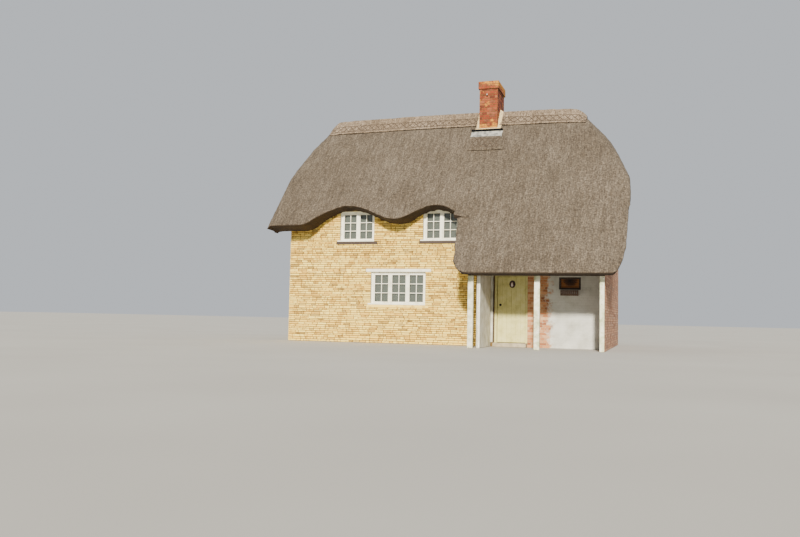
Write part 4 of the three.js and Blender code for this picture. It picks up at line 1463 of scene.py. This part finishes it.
# End of the right eyebrow: its lip of wheat reed runs on over the top of the long slope as a wedge that dies
# out to the right. It is combed into the slope, and its cut ends show along its foot, painted dark as the
# shade there.
slope = Vector((0, -0.660, -0.751))
out_of_slope = Vector((0, -0.751, 0.660))
tail_left, tail_right = 0.545, 0.965
tail_lip = Vector((0, -2.743, 3.817))
least_rise = 0.004
tail_rise = 0.105
tail_sunk = 0.05
shortest_back, longest_back = 0.10, 0.42
tail_steps = 14
sections = []
for k in range(tail_steps + 1):
    share = k / tail_steps
    rise = least_rise + tail_rise * (1 - share) ** 1.3
    foot = tail_lip + Vector((tail_left + (tail_right - tail_left) * share, 0, 0))
    back = shortest_back + (longest_back - shortest_back) * (1 - share)
    sections.append([
        foot - out_of_slope * tail_sunk,
        foot + out_of_slope * rise * 0.8 + slope * 0.010,
        foot + out_of_slope * rise,
        foot - slope * back * 0.3 + out_of_slope * rise * 0.85,
        foot - slope * back * 0.7 + out_of_slope * rise * 0.35,
        foot - slope * back - out_of_slope * 0.02,
        foot - slope * back - out_of_slope * tail_sunk,
    ])
tail = loft("eyebrow_tail", sections, weathered_straw)
tail.data.materials.append(reed_butts_painted_shade)
# Its foot gets the cut ends, painted dark as the shade under the lip.
for face in tail.data.polygons:
    face.material_index = 1 if face.normal.dot(slope) > 0.7 else 0

# Verandah: three square posts with their arrises taken off, in old cream paint that has gone green in the
# damp and comes off in flakes. The plate that they carry, pegged on their tops, is given the dark stained
# timber as painted shade, for it lies in the shadow of the eaves.

# Oil paint long in the damp: cream, gone green in patches 143 mm across, and grey bare wood where flakes 38
# mm across have come off.
cream_paint, cream_paint_place = start_finish("flaking_cream_paint")
cream_wear = add_node(
    cream_paint, "ShaderNodeTexNoise", {"Vector": cream_paint_place, "Scale": per_metre(143), "Detail": 7.0}
)
cream_tone = add_node(
    cream_paint, "ShaderNodeValToRGB", {"Fac": cream_wear.outputs[0]},
    stops=[(0.3, "#AEB487"), (0.48, "#D6D6B4"), (0.6, "#ECE8D4")],
)
cream_flakes = add_node(
    cream_paint, "ShaderNodeTexNoise",
    {"Vector": cream_paint_place, "Scale": per_metre(38), "Detail": 5.0, "Roughness": 0.7},
)
cream_bare = add_node(
    cream_paint, "ShaderNodeMapRange", {"Value": cream_flakes.outputs[0], "From Min": 0.60, "From Max": 0.64}
)
cream_paint_colour = add_node(
    cream_paint, "ShaderNodeMixRGB",
    {"Fac": cream_bare.outputs[0], "Color1": cream_tone.outputs[0], "Color2": linear("#8D836F")},
)
cream_paint_bump = add_node(
    cream_paint, "ShaderNodeBump", {"Strength": 0.6, "Distance": 0.003, "Height": cream_flakes.outputs[0]}
)
close_finish(
    cream_paint, Base_Color=cream_paint_colour.outputs[0], Roughness=0.6, Normal=cream_paint_bump.outputs[0]
)

verandah_low, verandah_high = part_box("verandah_post_frame")
post_width = 0.150
right_post_width = 0.120
post_depth = 0.120
to_middle_post = 1.860
plate_back = (0.010, 0.110)
plate_height = 0.115
plate_foot = verandah_high.z - plate_height
post_faces = {
    "left": (verandah_low.x, verandah_low.x + post_width),
    "middle": (verandah_low.x + to_middle_post, verandah_low.x + to_middle_post + post_width),
    "right": (verandah_high.x - right_post_width, verandah_high.x),
}
for place, (left, right) in post_faces.items():
    post = make_board(
        f"verandah_post_{place}", (left, verandah_low.y, 0), (right, verandah_low.y + post_depth, plate_foot),
        0.010, cream_paint,
    )
    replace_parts(post, "verandah_post_frame")
# The plate is dark stained timber as painted shade under the eaves.
plate_painted_shade = make_board(
    "verandah_plate_painted_shade", (verandah_low.x, verandah_low.y + plate_back[0], plate_foot),
    (verandah_high.x, verandah_low.y + plate_back[1], verandah_high.z), 0.008, dark_timber,
)
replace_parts(plate_painted_shade, "verandah_post_frame")

# Left end of the verandah: upright boards 150 mm wide in worn grey limewash, nailed on both sides of their
# frame and cut to the slope of the roof. In front they end in a dark stile and a white edge board, and a grey
# cover board and a dark scribe close the gap between them and the door frame on the wall. The stile and the
# scribe are dark stained timber as painted shadow lines.

# Limewash on sawn boards: pale grey and chalky, stained every 250 mm. The grain is drawn 17 mm wide to show.
grey_boards, grey_place = start_finish("grey_limewashed_boards")
grey_stretch = add_node(
    grey_boards, "ShaderNodeMapping",
    {"Vector": grey_place, "Scale": (per_metre(17), per_metre(17), per_metre(333))},
)
grey_grain = add_node(
    grey_boards, "ShaderNodeTexNoise", {"Vector": grey_stretch.outputs[0], "Scale": 1.0, "Detail": 5.0}
)
grey_stains = add_node(
    grey_boards, "ShaderNodeTexNoise", {"Vector": grey_place, "Scale": per_metre(250), "Detail": 5.0}
)
grey_tone = add_node(
    grey_boards, "ShaderNodeValToRGB", {"Fac": grey_grain.outputs[0]},
    stops=[(0.3, "#B4B2A4"), (0.6, "#E0DED2")],
)
grey_patches = add_node(
    grey_boards, "ShaderNodeValToRGB", {"Fac": grey_stains.outputs[0]},
    stops=[(0.3, "#C9C5B2"), (0.6, "#FFFFFF")],
)
grey_colour = add_node(
    grey_boards, "ShaderNodeMixRGB",
    {"Fac": 0.8, "Color1": grey_tone.outputs[0], "Color2": grey_patches.outputs[0]},
    blend_type="MULTIPLY",
)
grey_bump = add_node(
    grey_boards, "ShaderNodeBump", {"Strength": 0.5, "Distance": 0.003, "Height": grey_grain.outputs[0]}
)
close_finish(grey_boards, Base_Color=grey_colour.outputs[0], Roughness=0.8, Normal=grey_bump.outputs[0])
give_finishes(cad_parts["verandah_left_boards"].data, grey_boards)

boarded_low, boarded_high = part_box("verandah_left_boards")
board_width = 0.150
board_count = int((boarded_high.y - boarded_low.y) / board_width)
board_thickness = 0.014
board_gap = 0.004
board_short = 0.010


def boarded_top(y):
    """The height of the boarded end at a place across its depth."""
    above = Vector(((boarded_low.x + boarded_high.x) / 2, y, 20))
    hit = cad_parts["verandah_left_boards"].ray_cast(above, Vector((0, 0, -1)))
    return hit[1].z


for side, face, outwards in (("inner", boarded_high.x, 1), ("outer", boarded_low.x, -1)):
    planks = []
    for k in range(board_count):
        near = boarded_low.y + board_gap + k * board_width
        far = near + board_width - board_gap
        near_top, far_top = boarded_top(near) - board_short, boarded_top(far) - board_short
        section = [(near, board_short), (far, board_short), (far, far_top), (near, near_top)]
        faces = [[(face + outwards * depth, y, z) for y, z in section] for depth in (0.0004, board_thickness)]
        planks.append(loft(f"end_plank_{side}_{k + 1}", faces, grey_boards))
    join_pieces(planks).name = f"left_end_planks_{side}"

stile_right = boarded_low.x + 0.034
edge_foot, edge_head = 0.010, 2.020
# The stile is dark as a painted shadow line beside the post.
make_board(
    "left_end_stile_painted_shadow", (boarded_low.x - 0.018, boarded_low.y + hairline, edge_foot),
    (stile_right - hairline, boarded_low.y + 0.020, edge_head), 0.004, dark_timber,
)
make_board(
    "left_end_edge_board", (stile_right, boarded_low.y, edge_foot),
    (boarded_high.x + 0.020, boarded_low.y + 0.022, edge_head), 0.004, white_paint,
)
door_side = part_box("door_frame")[0].x
wall_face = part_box("front_wall_left")[0].y
cover_foot = 0.130
cover_thickness = 0.022
scribe_left = door_side - 0.033
scribe_thickness = 0.010
make_board(
    "left_end_cover_board", (boarded_high.x + seat, wall_face - cover_thickness, cover_foot),
    (scribe_left - hairline, wall_face - seat, behind_boards_top), 0.004, grey_boards,
)
# The scribe is dark as a painted shadow line beside the door frame.
make_board(
    "left_end_scribe_painted_shadow", (scribe_left, wall_face - scribe_thickness, cover_foot),
    (door_side - hairline, wall_face - seat, behind_boards_top), 0.003, dark_timber,
)

# Hatch: a dark stained frame round three orange-brown boards that are almost black in the middle. Under it a
# trough of bare larch, with upright slats nailed on two rails, is fixed on the limewashed wall.
give_finishes(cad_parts["hatch_frame"].data, dark_timber)
panel_low, panel_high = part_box("hatch_panel")
panel_middle = (panel_low + panel_high) / 2

# Pine boards: orange-brown at their edges and almost black in the middle, darkest 50 mm under their top. Its
# grain is drawn 20 mm wide to show.
hatch_wood, hatch_place = start_finish("pine_boards_dark_in_the_middle")
darkest_place = (panel_middle.x, panel_middle.y, panel_high.z - 0.05)
hatch_from_middle = add_node(
    hatch_wood, "ShaderNodeVectorMath", {0: hatch_place, 1: darkest_place}, operation="SUBTRACT"
)
hatch_across = add_node(
    hatch_wood, "ShaderNodeVectorMath", {0: hatch_from_middle.outputs[0], 1: (3.2, 0.0, 3.6)},
    operation="MULTIPLY",
)
hatch_distance = add_node(
    hatch_wood, "ShaderNodeVectorMath", {0: hatch_across.outputs[0]}, operation="LENGTH"
)
hatch_stretch = add_node(
    hatch_wood, "ShaderNodeMapping",
    {"Vector": hatch_place, "Scale": (per_metre(250), per_metre(20), per_metre(20))},
)
hatch_grain = add_node(
    hatch_wood, "ShaderNodeTexNoise", {"Vector": hatch_stretch.outputs[0], "Scale": 1.0, "Detail": 5.0}
)
hatch_darkening = add_node(
    hatch_wood, "ShaderNodeMath", {0: hatch_grain.outputs[0], 1: 0.5, 2: hatch_distance.outputs["Value"]},
    operation="MULTIPLY_ADD",
)
hatch_colour = add_node(
    hatch_wood, "ShaderNodeValToRGB", {"Fac": hatch_darkening.outputs[0]},
    stops=[(0.35, "#1E120A"), (0.8, "#4F2F18"), (1.0, "#9A6433")],
)
hatch_bump = add_node(
    hatch_wood, "ShaderNodeBump", {"Strength": 0.5, "Distance": 0.003, "Height": hatch_grain.outputs[0]}
)
close_finish(hatch_wood, Base_Color=hatch_colour.outputs[0], Roughness=0.75, Normal=hatch_bump.outputs[0])
hatch_board_count = 3
hatch_board_gap = 0.003
hatch_board_height = (panel_high.z - panel_low.z) / hatch_board_count
for k in range(hatch_board_count):
    foot = panel_low.z + k * hatch_board_height
    hatch_board = make_board(
        f"hatch_board_{k + 1}", (panel_low.x, panel_low.y, foot + hatch_board_gap / 2),
        (panel_high.x, panel_high.y, foot + hatch_board_height - hatch_board_gap / 2), 0.003, hatch_wood,
    )
    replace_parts(hatch_board, "hatch_panel")

# Bare larch: dull, silvery brown, its grain drawn 17 mm wide to show.
bare_larch, larch_place = start_finish("weathered_bare_larch")
larch_stretch = add_node(
    bare_larch, "ShaderNodeMapping",
    {"Vector": larch_place, "Scale": (per_metre(17), per_metre(17), per_metre(167))},
)
larch_grain = add_node(
    bare_larch, "ShaderNodeTexNoise", {"Vector": larch_stretch.outputs[0], "Scale": 1.0, "Detail": 5.0}
)
larch_colour = add_node(
    bare_larch, "ShaderNodeValToRGB", {"Fac": larch_grain.outputs[0]},
    stops=[(0.3, "#57443A"), (0.7, "#8C786B")],
)
larch_bump = add_node(
    bare_larch, "ShaderNodeBump", {"Strength": 0.5, "Distance": 0.003, "Height": larch_grain.outputs[0]}
)
close_finish(bare_larch, Base_Color=larch_colour.outputs[0], Roughness=0.85, Normal=larch_bump.outputs[0])
trough_low, trough_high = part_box("wall_trough")
slat_thickness = 0.012
slat_width = 0.034
rail_height = 0.028
slat_back = trough_low.y + slat_thickness
trough_parts = {
    "bottom": (
        (trough_low.x, slat_back, trough_low.z),
        (trough_high.x, trough_high.y, trough_low.z + slat_thickness),
    ),
    "left_end": (
        (trough_low.x, slat_back, trough_low.z),
        (trough_low.x + slat_thickness, trough_high.y, trough_high.z),
    ),
    "right_end": (
        (trough_high.x - slat_thickness, slat_back, trough_low.z),
        (trough_high.x, trough_high.y, trough_high.z),
    ),
}
slat_count = 9
slat_pitch = (trough_high.x - trough_low.x - slat_width) / (slat_count - 1)
for k in range(slat_count):
    slat_left = trough_low.x + k * slat_pitch
    trough_parts[f"slat_{k + 1}"] = (
        (slat_left, trough_low.y, trough_low.z), (slat_left + slat_width, slat_back, trough_high.z),
    )
for rail_name, rail_foot in (("lower", trough_low.z + 0.020), ("upper", trough_high.z - 0.035)):
    trough_parts[f"{rail_name}_rail"] = (
        (trough_low.x, slat_back, rail_foot),
        (trough_high.x, slat_back + slat_thickness, rail_foot + rail_height),
    )
for part, (low, high) in trough_parts.items():
    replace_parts(make_board(f"trough_{part}", low, high, 0.002, bare_larch), "wall_trough")
